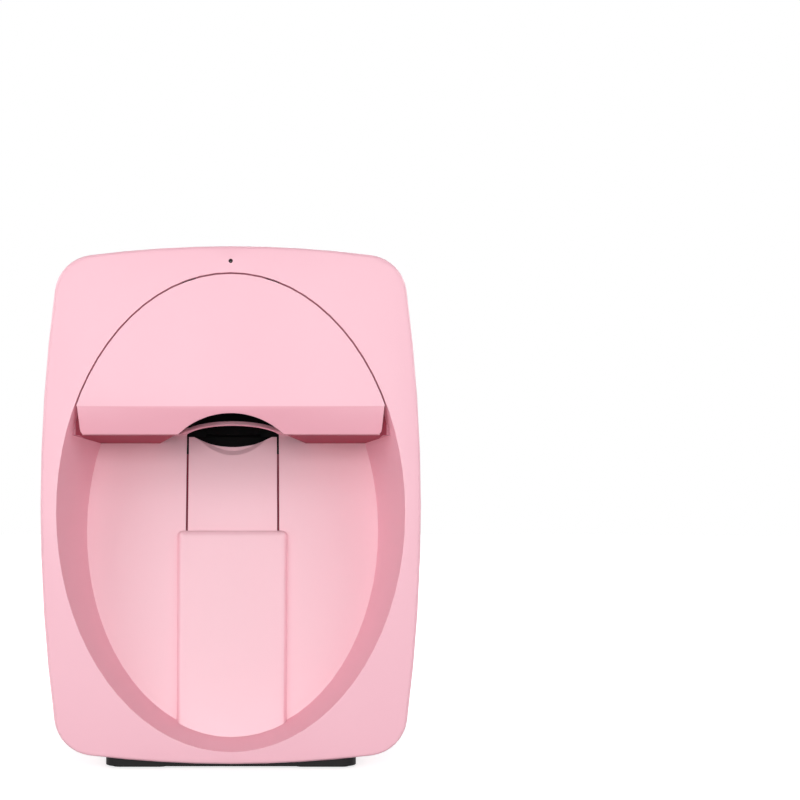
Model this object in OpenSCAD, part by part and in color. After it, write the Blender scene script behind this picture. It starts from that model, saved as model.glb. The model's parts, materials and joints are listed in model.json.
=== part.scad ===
// Tabletop nail art printer: upright housing with an elliptical hand recess, a lift-up lid over the
// print bay, a sliding finger tray under a palm rest, and the two-way print mechanism behind the lid.
// Millimetres. The front faces -Y, +Z is up, and the origin lies on the ground under the middle.

/* [Body] */
// Width of the body at its widest
body_w = 210; // [204:1:222]
// Top of the body above the ground
body_h = 288.3; // [284:0.1:300]
// Depth from the front face to the back
body_d = 190; // [180:1:215]
// Ground to the lowest point of the curved underside
underside_gap = 2.5; // [2:0.1:4]
// Wall thickness of the moulded shells
wall = 2.5; // [2:0.1:3]
// Radius of the bowed sides
side_bow_r = 908; // [700:1:1500]
// Radius of the bowed top
top_bow_r = 611; // [500:1:1200]
// Radius of the bowed underside
low_bow_r = 650; // [500:1:1200]
// Radius of the four corners seen from the front
corner_r = 22.5; // [20:0.5:28]
// Rounding where the front face meets the sides
front_edge_r = 2.1; // [1:0.1:3]
// Rounding where the back meets the sides
rear_edge_r = 12; // [6:0.5:16]
// Depth of the joint line between the front and rear housings
split_depth = 74; // [74:0.5:84]

/* [Recess] */
// Face left between the recess and the side of the body
side_border = 8.9; // [8:0.1:11]
// Face left above the recess and lid
top_border = 14.7; // [14.7:0.1:17]
// Face left below the recess
low_border = 6.9; // [5:0.1:10]
// Draft of the recess wall in degrees
recess_draft = 10; // [8:0.5:11]
// Depth of the sloping floor at the foot of the recess
foot_depth = 25.8; // [24:0.1:30]
// Slope of the floor from upright in degrees
floor_tilt = 13; // [12:0.5:14]

/* [Lid] */
// Top of the body down to the lid's lower edge
bay_h = 103.6; // [101:0.1:106]
// Height of the slanted strip along the lid's lower edge
strip_h = 15.2; // [13:0.1:17]
// How far the strip's lower edge is set back from the face
strip_set_back = 7; // [5:0.1:8]
// How much further in the strip's ends are than the lid's flat face
strip_end_inset = 0.8; // [0.4:0.1:6]
// Shut line round the lid
lid_gap = 1; // [0.8:0.05:1.3]
// Thickness of the lid
lid_t = 2.2; // [1.8:0.1:2.4]
// Width of the flange under the strip
lid_return = 3; // [2:0.1:3.4]
// Radius of the arch in the strip, over the slot
hood_r = 43.75; // [40:0.25:48]
// Rise of the arch above the lid's lower edge
hood_rise = 11.6; // [9:0.1:13]

/* [Hinge] */
// Depth of the lid's hinge line behind the front face
pivot_depth = 5; // [4.9:0.1:5.6]
// Hinge line below the top of the body
pivot_drop = 9.8; // [9:0.1:10]
// Radius of the lid's hinge pins
hinge_pin_r = 1.5; // [1.2:0.05:1.6]
// Radial play of pins that turn
play = 0.05; // [0.03:0.01:0.08]
// Distance of each lid arm from the middle
arm_x = 23; // [21:0.5:24]
// Width of a lid arm
arm_w = 6; // [5:0.5:7]
// Inner radius of the arm's bend round the hinge line
arm_inner_r = 12; // [11.8:0.1:12.4]
// Thickness of the arm's bend
arm_t = 4; // [3:0.25:4.5]

/* [Finger slot] */
// Thickness of the shelf between the recess and the print bay
shelf_t = 2.5; // [2:0.1:3]
// Clearance left behind the lid's flange
shelf_clearance = 1; // [0.8:0.1:1.5]
// Height of the wall that stands on the shelf behind the strip
upstand_h = 14; // [10:0.5:14.5]
// Height of the arched finger opening over the tray
arch_rise = 19; // [18:0.25:19.5]
// Thickness of the finger guard's arch
guard_t = 2.3; // [1.8:0.1:2.5]
// Width of the finger guard's band along the finger
guard_len = 2.4; // [2:0.1:3.2]

/* [Finger tray] */
// Width of the finger tray
tray_w = 53; // [48:0.5:56]
// Visible gap on each side of the tray
tray_gap = 1.2; // [0.8:0.1:1.6]
// Thickness of the tray's face
tray_t = 2.65; // [2.2:0.05:3]
// Thickness of the tray's wider runner
runner_t = 2; // [1.5:0.1:2.5]
// Running clearance of the tray and its channel
slide_clearance = 0.3; // [0.25:0.05:0.4]
// Travel of the tray down into the palm rest
tray_travel = 26; // [15:1:30]
// Length of tray that stays under the palm rest at rest
tray_overlap = 32; // [28:1:36]

/* [Palm rest] */
// Distance from the slot to the top of the palm rest, along the floor
palm_top = 56; // [50:1:62]
// Width of the palm rest at its top
palm_w = 65; // [62:0.5:70]
// How much narrower the palm rest is at its foot
palm_taper = 2.4; // [0:0.1:4]
// Height of the palm rest above the floor
palm_h = 4.2; // [3:0.1:6]
// Rounding of the palm rest's edges
palm_edge_r = 3.4; // [2:0.1:4]

/* [Print mechanism] */
// Slot to the middle of the print area, along the finger
nail_w = 42; // [41:0.5:44]
// Height of the nozzles over the finger bed
nozzle_h = 19; // [18:0.25:20]
// Length of the ink cartridge along the ink's path
cartridge_l = 38; // [34:0.5:40]
// Width of the ink cartridge
cartridge_w = 30; // [26:0.5:32]
// Thickness of the ink cartridge
cartridge_t = 26; // [22:0.5:28]
// Radius of the guide rails and rods
rail_r = 3; // [2:0.25:3]
// Rails above and below the cartridge, from its middle
rail_offset = 21; // [20:0.5:22]
// Half width of the body less half width of the chassis
side_clearance = 21; // [20:0.5:24]
// Travel of the stage along the finger
stage_travel = 10; // [6:0.5:10]
// Wall thickness of bushes
bush_t = 2; // [1:0.25:2]
// Radius of the toothed belt round its pulleys
belt_r = 4.8; // [4:0.1:5]
// Thickness of the toothed belt
belt_t = 1.4; // [1:0.1:1.5]
// Width of the toothed belt
belt_w = 6; // [5:0.25:6]
// Thickness of the sheet-metal frames
sheet_t = 2; // [1.5:0.1:2]

/* [Base and rear] */
// Half width of the black base
base_half_w = 69.8; // [62:0.1:72]
// Ground to the underside of the base plate
base_lift = 1; // [0.6:0.1:1.4]
// Side of the square cooling fan
fan_size = 40; // [35:1:45]
// Thickness of the fan
fan_t = 10; // [8:0.5:12]
// Radius of the power button
button_r = 6; // [4:0.25:7]
// Travel of the power button
button_travel = 1.5; // [1:0.1:1.8]
// Radius of the low-voltage inlet's bore
inlet_r = 2.8; // [2.5:0.05:3]
// Radius of a screw's shank
screw_r = 1.25; // [1:0.05:1.4]

/* [Hidden] */
$fn = 64;

shell_pink = [0.99, 0.80, 0.85];
soft_black = [0.10, 0.10, 0.11];
steel = [0.75, 0.76, 0.78];
brass = [0.80, 0.64, 0.32];
board_green = [0.10, 0.34, 0.22];
motor_grey = [0.38, 0.39, 0.42];

big = 400;
eps = 0.01;
seat = 0.3;
lid_low = body_h - bay_h;

// ---- body outline -------------------------------------------------------------------------

wide_z = body_h / 2;
side_c = [body_w / 2 - side_bow_r, wide_z];
top_c = [0, body_h - top_bow_r];
low_c = [0, underside_gap + low_bow_r];

function angle_to(a, b) = atan2(b[1] - a[1], b[0] - a[0]);
// The point at distance r1 from c1 and r2 from c2, to the left (+1) or right (-1) of c1-c2
function meet(c1, r1, c2, r2, side) =
  let (d = norm(c2 - c1), a = (r1 * r1 - r2 * r2 + d * d) / (2 * d),
       h = sqrt(r1 * r1 - a * a), u = (c2 - c1) / d)
  c1 + a * u + side * h * [-u[1], u[0]];
function arc(c, r, a0, a1, n, first = 0) =
  [for (i = [first:n]) let (a = a0 + (a1 - a0) * i / n) c + r * [cos(a), sin(a)]];

top_corner_c = meet(side_c, side_bow_r - corner_r, top_c, top_bow_r - corner_r, 1);
low_corner_c = meet(side_c, side_bow_r - corner_r, low_c, low_bow_r - corner_r, -1);

function right_half(inset) = concat(
  arc(low_c, low_bow_r - inset, -90, angle_to(low_c, low_corner_c), 4),
  arc(low_corner_c, corner_r - inset, angle_to(low_c, low_corner_c), angle_to(side_c, low_corner_c), 8, 1),
  arc(side_c, side_bow_r - inset, angle_to(side_c, low_corner_c), angle_to(side_c, top_corner_c), 8, 1),
  arc(top_corner_c, corner_r - inset, angle_to(side_c, top_corner_c), angle_to(top_c, top_corner_c), 8, 1),
  arc(top_c, top_bow_r - inset, angle_to(top_c, top_corner_c), 90, 4, 1));
function outline_points(inset) =
  let (half = right_half(inset))
  concat(half, [for (i = [len(half) - 2:-1:1]) [-half[i][0], half[i][1]]]);
// Half width inside the wall at height z
function inner_half_w(z) =
  side_c[0] + sqrt(pow(side_bow_r - wall, 2) - pow(z - wide_z, 2));
// Underside of the shell at distance x from the middle
function underside_z(x) = low_c[1] - sqrt(low_bow_r * low_bow_r - x * x);
// Inside of the shell's top at distance x from the middle
function inner_top_z(x) = top_c[1] + sqrt(pow(top_bow_r - wall, 2) - x * x);

module body_outline(inset = 0) polygon(outline_points(inset));

// ---- placing ------------------------------------------------------------------------------

// Inside in_body() Y is the depth behind the front face
module in_body() translate([0, -body_d / 2, 0]) children();
// Inside in_tilt() Z runs up along the recess floor from the slot and Y goes in through the floor
module in_tilt() in_body() tilt_only() children();
module tilt_only() translate([0, slot_depth, lid_low]) rotate([-floor_tilt, 0, 0]) children();
// A flat drawing in X and Z, given depth from y0 to y1
module prism(y0, y1) translate([0, y1, 0]) rotate([90, 0, 0]) linear_extrude(y1 - y0) children();
// A flat drawing in Y and Z, given width from x0 to x1
module across(x0, x1)
  translate([x0, 0, 0]) rotate([90, 0, 90]) linear_extrude(x1 - x0) children();
module block(x0, x1, y0, y1, z0, z1) translate([x0, y0, z0]) cube([x1 - x0, y1 - y0, z1 - z0]);
module rod_x(x0, x1, y, z, r) translate([x0, y, z]) rotate([0, 90, 0]) cylinder(r = r, h = x1 - x0);
module rod_y(x, y0, y1, z, r) translate([x, y1, z]) rotate([90, 0, 0]) cylinder(r = r, h = y1 - y0);
module rod_z(x, y, z0, z1, r) translate([x, y, z0]) cylinder(r = r, h = z1 - z0);
// Makes a copy on the other side of the middle
module both_sides() {
  children();
  mirror([1, 0, 0]) children();
}
// Height above the ground of a point given in the tilted frame
function tilt_z(y, w) = lid_low - y * sin(floor_tilt) + w * cos(floor_tilt);
// Depth of a point given in the tilted frame
function tilt_depth(y, w) = slot_depth + y * cos(floor_tilt) + w * sin(floor_tilt);

// ---- recess and lid ellipse ---------------------------------------------------------------

recess_a = body_w / 2 - side_border;
recess_low = underside_gap + low_border;
recess_top = body_h - top_border;
recess_b = (recess_top - recess_low) / 2;
recess_z = (recess_top + recess_low) / 2;
slot_depth = foot_depth + (lid_low - recess_low) * tan(floor_tilt);
recess_reach = slot_depth + 6;

function ellipse_points(grow) =
  [for (i = [0:71]) [(recess_a + grow) * cos(5 * i), recess_z + (recess_b + grow) * sin(5 * i)]];
// Half width of the ellipse on the face at height z
function ellipse_half_w(z) = recess_a * sqrt(1 - pow((z - recess_z) / recess_b, 2));
// Top of the ellipse on the face at distance x
function ellipse_top_z(x) = recess_z + recess_b * sqrt(1 - pow(x / recess_a, 2));
// The drafted form that the recess is cut with, from depth y0 to y1
module recess_form(grow, y0, y1) hull() for (y = [y0, y1])
  prism(y, y + eps) polygon(ellipse_points(grow - y * tan(recess_draft)));

shelf_low = lid_low - 2.2;
shelf_lip_z = lid_low - 0.2;
shelf_top = shelf_lip_z + shelf_t;
tab_top_w = 6.5;
shelf_front = strip_set_back + lid_return + shelf_clearance;
upstand_t = 2;
rim_t = 2;
rim_depth = shelf_front + upstand_t;
slot_half = tray_w / 2 + tray_gap;
mouth_front_w = 31;
mouth_back_w = 44;

// Opening in the shelf for the finger and the guard, seen from above
module mouth_plan(clearance = 0) polygon([
  [-mouth_front_w + clearance, shelf_front - 1], [mouth_front_w - clearance, shelf_front - 1],
  [mouth_back_w - clearance, slot_depth], [mouth_back_w - clearance, slot_depth + 8],
  [-mouth_back_w + clearance, slot_depth + 8], [-mouth_back_w + clearance, slot_depth]]);

// ---- hinge --------------------------------------------------------------------------------

pivot_z = body_h - pivot_drop;
ear_t = 3;
ear_gap = 0.5;
eye_r = hinge_pin_r + 1.5;
ear_in = arm_x - arm_w / 2 - ear_gap - ear_t;
ear_out = arm_x + arm_w / 2 + ear_gap;

// ---- mechanism places in the tilted frame -------------------------------------------------

snout_l = 3.2;
nozzle_y = -nozzle_h;
cartridge_front_y = nozzle_y - cartridge_l;
pocket_base_y = nozzle_y - snout_l - 1.8;
carriage_back_y = nozzle_y - snout_l + 0.2;
carriage_front_y = cartridge_front_y + 5;
rail_y = (carriage_back_y + carriage_front_y) / 2 - 6.8;
boss_r = rail_r + bush_t + 1;
carriage_half_w = cartridge_w / 2 + 4;
carriage_half_t = cartridge_t / 2 + 4;
rail_top_w = nail_w + rail_offset;
rail_low_w = nail_w - rail_offset;
belt_axis_w = rail_top_w + boss_r + belt_r + belt_t + 2;
pulley_flange_r = belt_r + belt_t + 0.9;
chassis_half_w = body_w / 2 - side_clearance;
screw_x_place = chassis_half_w - 9;
rod_x_place = screw_x_place - 2 * rail_r - 2 * bush_t - 1;
stage_half_w = rod_x_place - rail_r - bush_t - 4;
park_x = stage_half_w - carriage_half_w - 6;
camera_x = park_x - carriage_half_w - 11;
carriage_travel = stage_half_w + camera_x - 13;
stage_back_y = rail_y + boss_r + 4;
stage_low_w = rail_low_w - boss_r + 2;
stage_top_w = belt_axis_w + 9;
motor_x = stage_half_w - 13;
idler_x = 9 - stage_half_w;
pulley_shaft_r = 1.5;
rod_y_place = stage_back_y + 4;
bush_low_w = nail_w - 8;
bush_high_w = nail_w + 12;
bush_block_x = rod_x_place + rail_r + bush_t + 1.5;
nut_low_w = bush_low_w + 4;
nut_high_w = bush_high_w - 4;
chassis_low_w = 4;
chassis_top_w = nail_w + 34;
chassis_back_y = 12;
chassis_sheet = 1.5;
ear_y = rod_y_place - 6;
chassis_boss_r = 4.5;
ear_x = chassis_half_w + chassis_sheet + chassis_boss_r;
ear_ws = [chassis_low_w + 8, chassis_top_w - 10];
bed_low_w = chassis_low_w;
bed_high_w = nail_w + 8;
bed_half_w = 16;
bed_wall_w = 18;

// ---- housing places -----------------------------------------------------------------------

housing_boss_r = 3.5;
housing_top_x = stage_half_w + 4.5 + housing_boss_r - 0.5;
housing_top_z = inner_top_z(housing_top_x) - 8;
housing_low_x = low_corner_c[0] + 9;
housing_low_z = low_corner_c[1] + 2;
housing_screws_at = [
  [housing_top_x, housing_top_z], [-housing_top_x, housing_top_z],
  [housing_low_x, housing_low_z], [-housing_low_x, housing_low_z]];
screw_head_r = 2.8;
screw_head_h = 2;
screw_grip = 8;
rear_in = body_d - wall;
fan_z = body_h * 0.8;
board_z0 = 88;
board_z1 = 198;
board_half_w = 55;
board_depth = rear_in - 20;
board_t = 1.6;
button_x = 40;
rear_parts_z = 30;
power_board_z = rear_parts_z - button_r - 4;
battery_floor_z = underside_z(45) + wall + 3;
battery_depth = body_d * 0.58;

// Steps of a rounded edge, without the last: each is [distance along, inset]
function edge_steps(r, n) = [for (k = [0:n - 1]) [r * (1 - cos(90 * k / n)), r * (1 - sin(90 * k / n))]];

module front_form() hull() {
  for (s = edge_steps(front_edge_r, 3)) prism(s[0], s[0] + eps) body_outline(s[1]);
  prism(front_edge_r, split_depth) body_outline();
}
module rear_form(inset) {
  r = rear_edge_r - inset;
  hull() {
    for (s = edge_steps(r, 4))
      prism(body_d - inset - s[0] - eps, body_d - inset - s[0]) body_outline(inset + s[1]);
    prism(split_depth - (inset > 0 ? 1 : 0), body_d - inset - r) body_outline(inset);
  }
}

// Everything inside the recess that stays solid: below the floor, the shelf and its upstand
module recess_keep() {
  intersection() {
    tilt_only() block(-big, big, 0, big, -big, big);
    block(-big, big, -big, big, -big, shelf_top);
  }
  across(-big, big) polygon([
    [shelf_front, shelf_lip_z], [slot_depth + 4, shelf_low], [slot_depth + 4, shelf_top],
    [shelf_front, shelf_top]]);
  both_sides() block(mouth_front_w + 4, big, shelf_front, shelf_front + upstand_t,
                     shelf_lip_z, shelf_top + upstand_h);
  floor_tabs();
}
// The floor runs on upwards through the shelf beside the tray
module floor_tabs() tilt_only() both_sides()
  block(slot_half, mouth_back_w + 2, 0, wall, -6, tab_top_w);

module front_housing() {
  color(shell_pink) in_body() difference() {
    union() {
      difference() {
        front_form();
        prism(wall, split_depth + 1) body_outline(wall);
      }
      intersection() {
        recess_form(wall, 1, recess_reach);
        union() {
          intersection() {
            tilt_only() block(-big, big, -big, wall, -big, big);
            block(-big, big, -big, big, -big, shelf_top);
          }
          block(-big, big, -big, rim_depth, shelf_low, big);
          floor_tabs();
        }
      }
      chassis_bosses();
      hinge_ears();
      for (p = housing_screws_at) rod_y(p[0], 1, split_depth, p[1], housing_boss_r);
      for (x = [-5.5, 5.5]) rod_y(x, wall - 1, indicator_board_y, indicator_z, 1.2);
    }
    difference() {
      recess_form(0, -1, recess_reach);
      recess_keep();
    }
    difference() {
      translate([0, 0, shelf_low - 1]) linear_extrude(shelf_top - shelf_low + 2) mouth_plan();
      tilt_only() block(-big, big, 0, big, -big, big);
    }
    tilt_only() block(-slot_half, slot_half, -1, wall + 1, -tray_slot_l, big);
    both_sides() block(ear_in + ear_t - seat, ear_out + seat, pivot_depth - eye_r - 0.4, big,
                       ellipse_top_z(arm_x) - 14,
                       pivot_z + eye_r + 1);
    both_sides() rod_x(ear_in - 1, ear_out + ear_t + 1, pivot_depth, pivot_z, hinge_pin_r);
    rod_y(0, -1, wall + 1, indicator_z, indicator_r + play);
    for (p = housing_screws_at) rod_y(p[0], split_depth - 12, split_depth + 1, p[1], screw_r + play);
    tilt_only() for (x = [-ear_x, ear_x], w = ear_ws) rod_y(x, ear_y - 9, ear_y + 1, w, screw_r + play);
    both_sides() rod_y(magnet_x, shelf_front - 1, shelf_front + magnet_t, magnet_z, keeper_r);
  }
}
module chassis_bosses() intersection() {
  for (x = [-ear_x, ear_x], w = ear_ws) rod_y(x, 1, split_depth, tilt_z(ear_y, w), chassis_boss_r);
  tilt_only() block(-big, big, -big, ear_y, -big, big);
}
module hinge_ears() both_sides() for (x = [ear_in, ear_out])
  block(x, x + ear_t, wall - 1, pivot_depth + eye_r, pivot_z - eye_r - 1, pivot_z + eye_r + 1);

tray_slot_l = palm_top + tray_overlap + tray_travel + 4;
indicator_z = body_h - 8.5;
indicator_r = 1.15;
indicator_board_y = wall + 1.3;
magnet_r = 2.5;
magnet_t = 1.5;
keeper_r = 3;
magnet_x = 66;
magnet_z = shelf_top + upstand_h / 2;

module slot_2d(length, r) {
  square([2 * r, length - 2 * r], center = true);
  for (z = [-1, 1]) translate([0, z * (length / 2 - r)]) circle(r);
}

vent_pitch = 6;
vent_r = 1.4;
vent_count = 6;
low_vent_z = 62;
low_vent_count = 14;

module rear_housing() {
  color(shell_pink) in_body() difference() {
    union() {
      difference() {
        rear_form(0);
        rear_form(wall);
      }
      // Locating lip inside the front housing's edge
      difference() {
        union() {
          prism(split_depth - 4, split_depth + 1) body_outline(wall + 0.2);
          prism(split_depth + 0.5, split_depth + 2.5) body_outline(wall - 0.5);
        }
        prism(split_depth - 5, split_depth + 3) body_outline(wall + 1.5);
        for (p = housing_screws_at) rod_y(p[0], split_depth - 6, split_depth, p[1], housing_boss_r + 0.6);
      }
      for (p = housing_screws_at) rod_y(p[0], split_depth, rear_in + 1, p[1], screw_head_r + 1.7);
      for (x = [-board_hole_x, board_hole_x], z = board_hole_zs)
        rod_y(x, board_depth + board_t, rear_in + 1, z, 3);
      // Ribs that carry the battery tray
      intersection() {
        union() {
          for (x = [-33, 33])
            block(x - 1, x + 1, battery_depth - 22, battery_depth + 22, 0, battery_floor_z);
          // Ribs that carry the power board
          for (x = [-50, 0, 50])
            block(x - 1, x + 1, rear_in - 32, rear_in + 1, 0, power_board_z);
        }
        rear_form(wall / 2);
      }
      // Collar round the power button
      rod_y(button_x, rear_in - 1.2, rear_in + 1, rear_parts_z, button_r + 4);
    }
    for (p = housing_screws_at) {
      rod_y(p[0], split_depth - 1, body_d + 1, p[1], screw_r + 0.3);
      rod_y(p[0], split_depth + screw_grip, body_d + 1, p[1], screw_head_r + 0.3);
    }
    for (x = [-board_hole_x, board_hole_x], z = board_hole_zs)
      rod_y(x, board_depth, board_depth + board_t + 8, z, screw_r);
    // Fan outlet and lower inlets
    for (i = [0:vent_count - 1]) translate([fan_x + (i - (vent_count - 1) / 2) * vent_pitch, 0, fan_z])
      prism(rear_in - 1, body_d + 1) slot_2d(fan_size - 6 - 5 * abs(i - (vent_count - 1) / 2), vent_r);
    for (i = [0:low_vent_count - 1])
      translate([(i - (low_vent_count - 1) / 2) * vent_pitch, 0, low_vent_z])
        prism(rear_in - 1, body_d + 1) slot_2d(16, vent_r);
    rod_y(button_x, rear_in - 2, body_d + 1, rear_parts_z, button_r + 0.2);
    rod_y(button_x, rear_in - 3, rear_in - 0.3, rear_parts_z, button_r + 1.8);
    rod_y(-button_x, rear_in - 2, body_d + 1, rear_parts_z, inlet_r + 1.9);
  }
}
board_hole_x = board_half_w - 5;
board_hole_zs = [board_z0 + 5, board_z1 - 5];
fan_x = 0;

// ---- base ---------------------------------------------------------------------------------

base_front = 3;
base_back = body_d - 10;
base_corner_r = 8;
foot_w = 32;
foot_d = 20;
foot_sink = 0.8;
foot_t = base_lift + foot_sink;
foot_ys = [base_front + 3, base_back - foot_d - 3];

module rounded_plan(x0, x1, y0, y1, r) {
  translate([x0 + r, y0]) square([x1 - x0 - 2 * r, y1 - y0]);
  translate([x0, y0 + r]) square([x1 - x0, y1 - y0 - 2 * r]);
  for (x = [x0 + r, x1 - r], y = [y0 + r, y1 - r]) translate([x, y]) circle(r);
}
module base_plate() {
  color(soft_black) in_body() difference() {
    intersection() {
      prism(base_front, base_back) polygon(concat(
        [for (i = [-6:6]) let (x = base_half_w * i / 6) [x, underside_z(x) - 0.15]],
        [[base_half_w, base_lift], [-base_half_w, base_lift]]));
      linear_extrude(30) rounded_plan(-base_half_w, base_half_w, base_front, base_back, base_corner_r);
    }
    foot_places(foot_sink + base_lift, -1, 0.1);
  }
}
module foot_places(z1, z0, grow) for (y = foot_ys) both_sides()
  translate([0, 0, z0]) linear_extrude(z1 - z0)
    rounded_plan(base_half_w - 3 - foot_w - grow, base_half_w - 3 + grow, y - grow, y + foot_d + grow, 5);
module rubber_feet() color(soft_black) in_body() foot_places(foot_t, 0, 0);

// ---- palm rest, guard, tray ---------------------------------------------------------------

palm_corner_r = 3;
palm_foot_w = -(lid_low - recess_low) / cos(floor_tilt);
module palm_outline(inset) {
  top_half = palm_w / 2 - inset;
  foot_half = (palm_w - palm_taper) / 2 - inset;
  r = max(palm_corner_r - inset, 0.6);
  polygon(concat(
    [[-foot_half, palm_foot_w], [foot_half, palm_foot_w]],
    arc([top_half - r, -palm_top - inset - r], r, 0, 90, 4),
    arc([-top_half + r, -palm_top - inset - r], r, 90, 180, 4)));
}
module palm_rest() {
  color(shell_pink) in_body() difference() {
    intersection() {
      tilt_only() hull() {
        for (s = edge_steps(palm_edge_r, 3)) prism(s[0] - palm_h, s[0] - palm_h + eps) palm_outline(s[1]);
        prism(palm_edge_r - palm_h, 0) palm_outline(0);
      }
      recess_form(-0.2, -1, recess_reach);
    }
    // Hollow underneath, where the tray slides
    tilt_only() intersection() {
      prism(-palm_h + 2, 1) palm_outline(4);
      block(-big, big, -big, big, palm_foot_w + 20, big);
    }
    tilt_only() block(-slot_half, slot_half, -0.6, 1, palm_foot_w + 20, 0);
  }
}

arch_r = (slot_half * slot_half + arch_rise * arch_rise) / (2 * arch_rise);
arch_y = arch_r - arch_rise;
guard_w0 = 3.1;
guard_foot_l = 8;
module finger_guard() {
  color(shell_pink) in_tilt() difference() {
    union() {
      intersection() {
        rod_z(0, arch_y, guard_w0, guard_w0 + guard_len, arch_r + guard_t);
        block(-big, big, -big, -0.05, 0, big);
      }
      both_sides() translate([0, 0, guard_w0]) linear_extrude(guard_len) polygon([
        [slot_half - 4, -0.05], [slot_half + guard_foot_l, -0.05], [slot_half + guard_foot_l, -1.2],
        [slot_half + 3, -2.4], [slot_half, -7.5], [slot_half - 4, -9]]);
    }
    rod_z(0, arch_y, guard_w0 - 1, guard_w0 + guard_len + 1, arch_r);
  }
}

tray_low_w = -(palm_top + tray_overlap);
runner_half = tray_w / 2 + 3.5;
tray_face_y = 0.15;
runner_y0 = wall + slide_clearance;
runner_y1 = runner_y0 + runner_t;
tray_end_r = 50;
tray_end_w = -3.8;
scoop_r = 44;
scoop_tilt = 30;
scoop_start_w = -9.5;
scoop_depth = 1.9;
module finger_tray() {
  color(shell_pink) in_tilt() difference() {
    union() {
      block(-tray_w / 2, tray_w / 2, tray_face_y, runner_y1, tray_low_w, 6);
      block(-runner_half, runner_half, runner_y0, runner_y1, tray_low_w, -8);
    }
    // Concave upper end
    rod_y(0, -1, big, tray_end_w + tray_end_r, tray_end_r, $fn = 128);
    block(-big, big, -1, big, 2, big);
    // Shallow scoop for the fingertip
    intersection() {
      translate([0, tray_face_y, scoop_start_w]) rotate([-scoop_tilt, 0, 0])
        rod_z(0, -scoop_r, -40, 60, scoop_r, $fn = 128);
      block(-big, big, -1, tray_face_y + scoop_depth, -40, big);
    }
  }
}
module tray_channel() {
  channel_y = runner_y1 + slide_clearance;
  low = -tray_slot_l - 4;
  color(soft_black) in_tilt() difference() {
    union() {
      block(-runner_half - 5, runner_half + 5, wall + 0.05, channel_y + 2, low, -10);
      block(-slot_half, slot_half, channel_y, channel_y + 2, -11, chassis_low_w - 0.4);
    }
    block(-runner_half - slide_clearance, runner_half + slide_clearance, 0, channel_y, low + 4, 9);
    // Lightening windows
    for (w = [low + 14, low + 52]) block(-16, 16, 0, big, w, w + 26);
  }
}

// ---- lid ----------------------------------------------------------------------------------

strip_top = lid_low + strip_h;
strip_back = strip_set_back + lid_return;
lid_half_w = ellipse_half_w(strip_top) - lid_gap - 0.6;
strip_corner_r = 4;
module lid_face_outline(inset) {
  half = lid_half_w - strip_end_inset - inset;
  r = strip_corner_r - inset / 2;
  polygon(concat(
    [[-big, big], [-big, strip_top], [-lid_half_w + inset, strip_top]],
    arc([-half + r, lid_low - 1 + r], r, 180, 270, 4),
    arc([half - r, lid_low - 1 + r], r, 270, 360, 4),
    [[lid_half_w - inset, strip_top], [big, strip_top], [big, big]]));
}
module lid() {
  color(shell_pink) in_body() difference() {
    union() {
      difference() {
        intersection() {
          recess_form(-lid_gap, -1, 20);
          prism(-1, 20) lid_face_outline(0);
          across(-big, big) polygon([
            [0, big], [0, strip_top], [strip_set_back, lid_low], [strip_back, lid_low],
            [strip_back, strip_top + 2], [0, strip_top + 2 + big]]);
        }
        // Hollow behind the strip and the thin plate above it
        intersection() {
          prism(-1, 20) lid_face_outline(lid_t);
          across(-big, big) polygon([
            [lid_t, strip_top], [strip_set_back + lid_t, lid_low + lid_t],
            [strip_back + 1, lid_low + lid_t], [strip_back + 1, strip_top]]);
        }
        block(-big, big, lid_t, 20, strip_top - eps, big);
      }
      intersection() {
        recess_form(-lid_gap - 1, -1, 20);
        union() {
          // Posts that hold the magnets
          intersection() {
            both_sides() rod_y(magnet_x, lid_t - 1, shelf_front - 0.5, magnet_z, magnet_r + 1.4);
            across(-big, big) polygon([[1, strip_top], [strip_set_back + 1, lid_low],
                                       [strip_back + 10, lid_low], [strip_back + 10, strip_top + 5], [1, strip_top + 5]]);
          }
          // Stiffening ribs behind the plate
          for (z = [strip_top + 14, strip_top + 30]) block(-52, 52, lid_t - 1, lid_t + 1.2, z, z + 1.6);
          across(-46, -44.4) rib_profile();
          across(44.4, 46) rib_profile();
        }
      }
    }
    prism(-1, 20) translate([0, lid_low + hood_rise - hood_r]) circle(hood_r, $fn = 128);
    both_sides() rod_y(magnet_x, shelf_front - 0.5 - magnet_t, 20, magnet_z, magnet_r);
  }
}
module rib_profile() polygon([
  [lid_t - 1, strip_top + 2], [lid_t + 1.2, strip_top + 2],
  [lid_t + 1.2, strip_top + 40], [lid_t - 1, strip_top + 40]]);
pad_top = pivot_z - arm_inner_r - 0.3;
pad_low = pad_top - 12;
module lid_arms() {
  color(soft_black) in_body() both_sides() difference() {
    union() {
      across(arm_x - arm_w / 2, arm_x + arm_w / 2) {
        translate([pivot_depth, pivot_z]) {
          circle(eye_r);
          translate([0, -2]) square([arm_inner_r + arm_t, 4]);
          intersection() {
            difference() {
              circle(arm_inner_r + arm_t);
              circle(arm_inner_r);
            }
            translate([-1, -big]) square([big, big]);
          }
        }
        polygon([[lid_t, pad_low], [lid_t + 2.5, pad_low], [pivot_depth + 2, pad_top - 2.5],
                 [pivot_depth + 1, pad_top], [lid_t, pad_top]]);
      }
    }
    rod_x(0, big, pivot_depth, pivot_z, hinge_pin_r + play);
  }
}
module hinge_pins() color(steel) in_body() both_sides()
  rod_x(ear_in, ear_out + ear_t, pivot_depth, pivot_z, hinge_pin_r);
module lid_magnets() color(steel) in_body() both_sides()
  rod_y(magnet_x, shelf_front - 0.5 - magnet_t, shelf_front - 0.5, magnet_z, magnet_r);
module magnet_keepers() color(steel) in_body() both_sides()
  rod_y(magnet_x, shelf_front, shelf_front + magnet_t, magnet_z, keeper_r);
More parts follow.
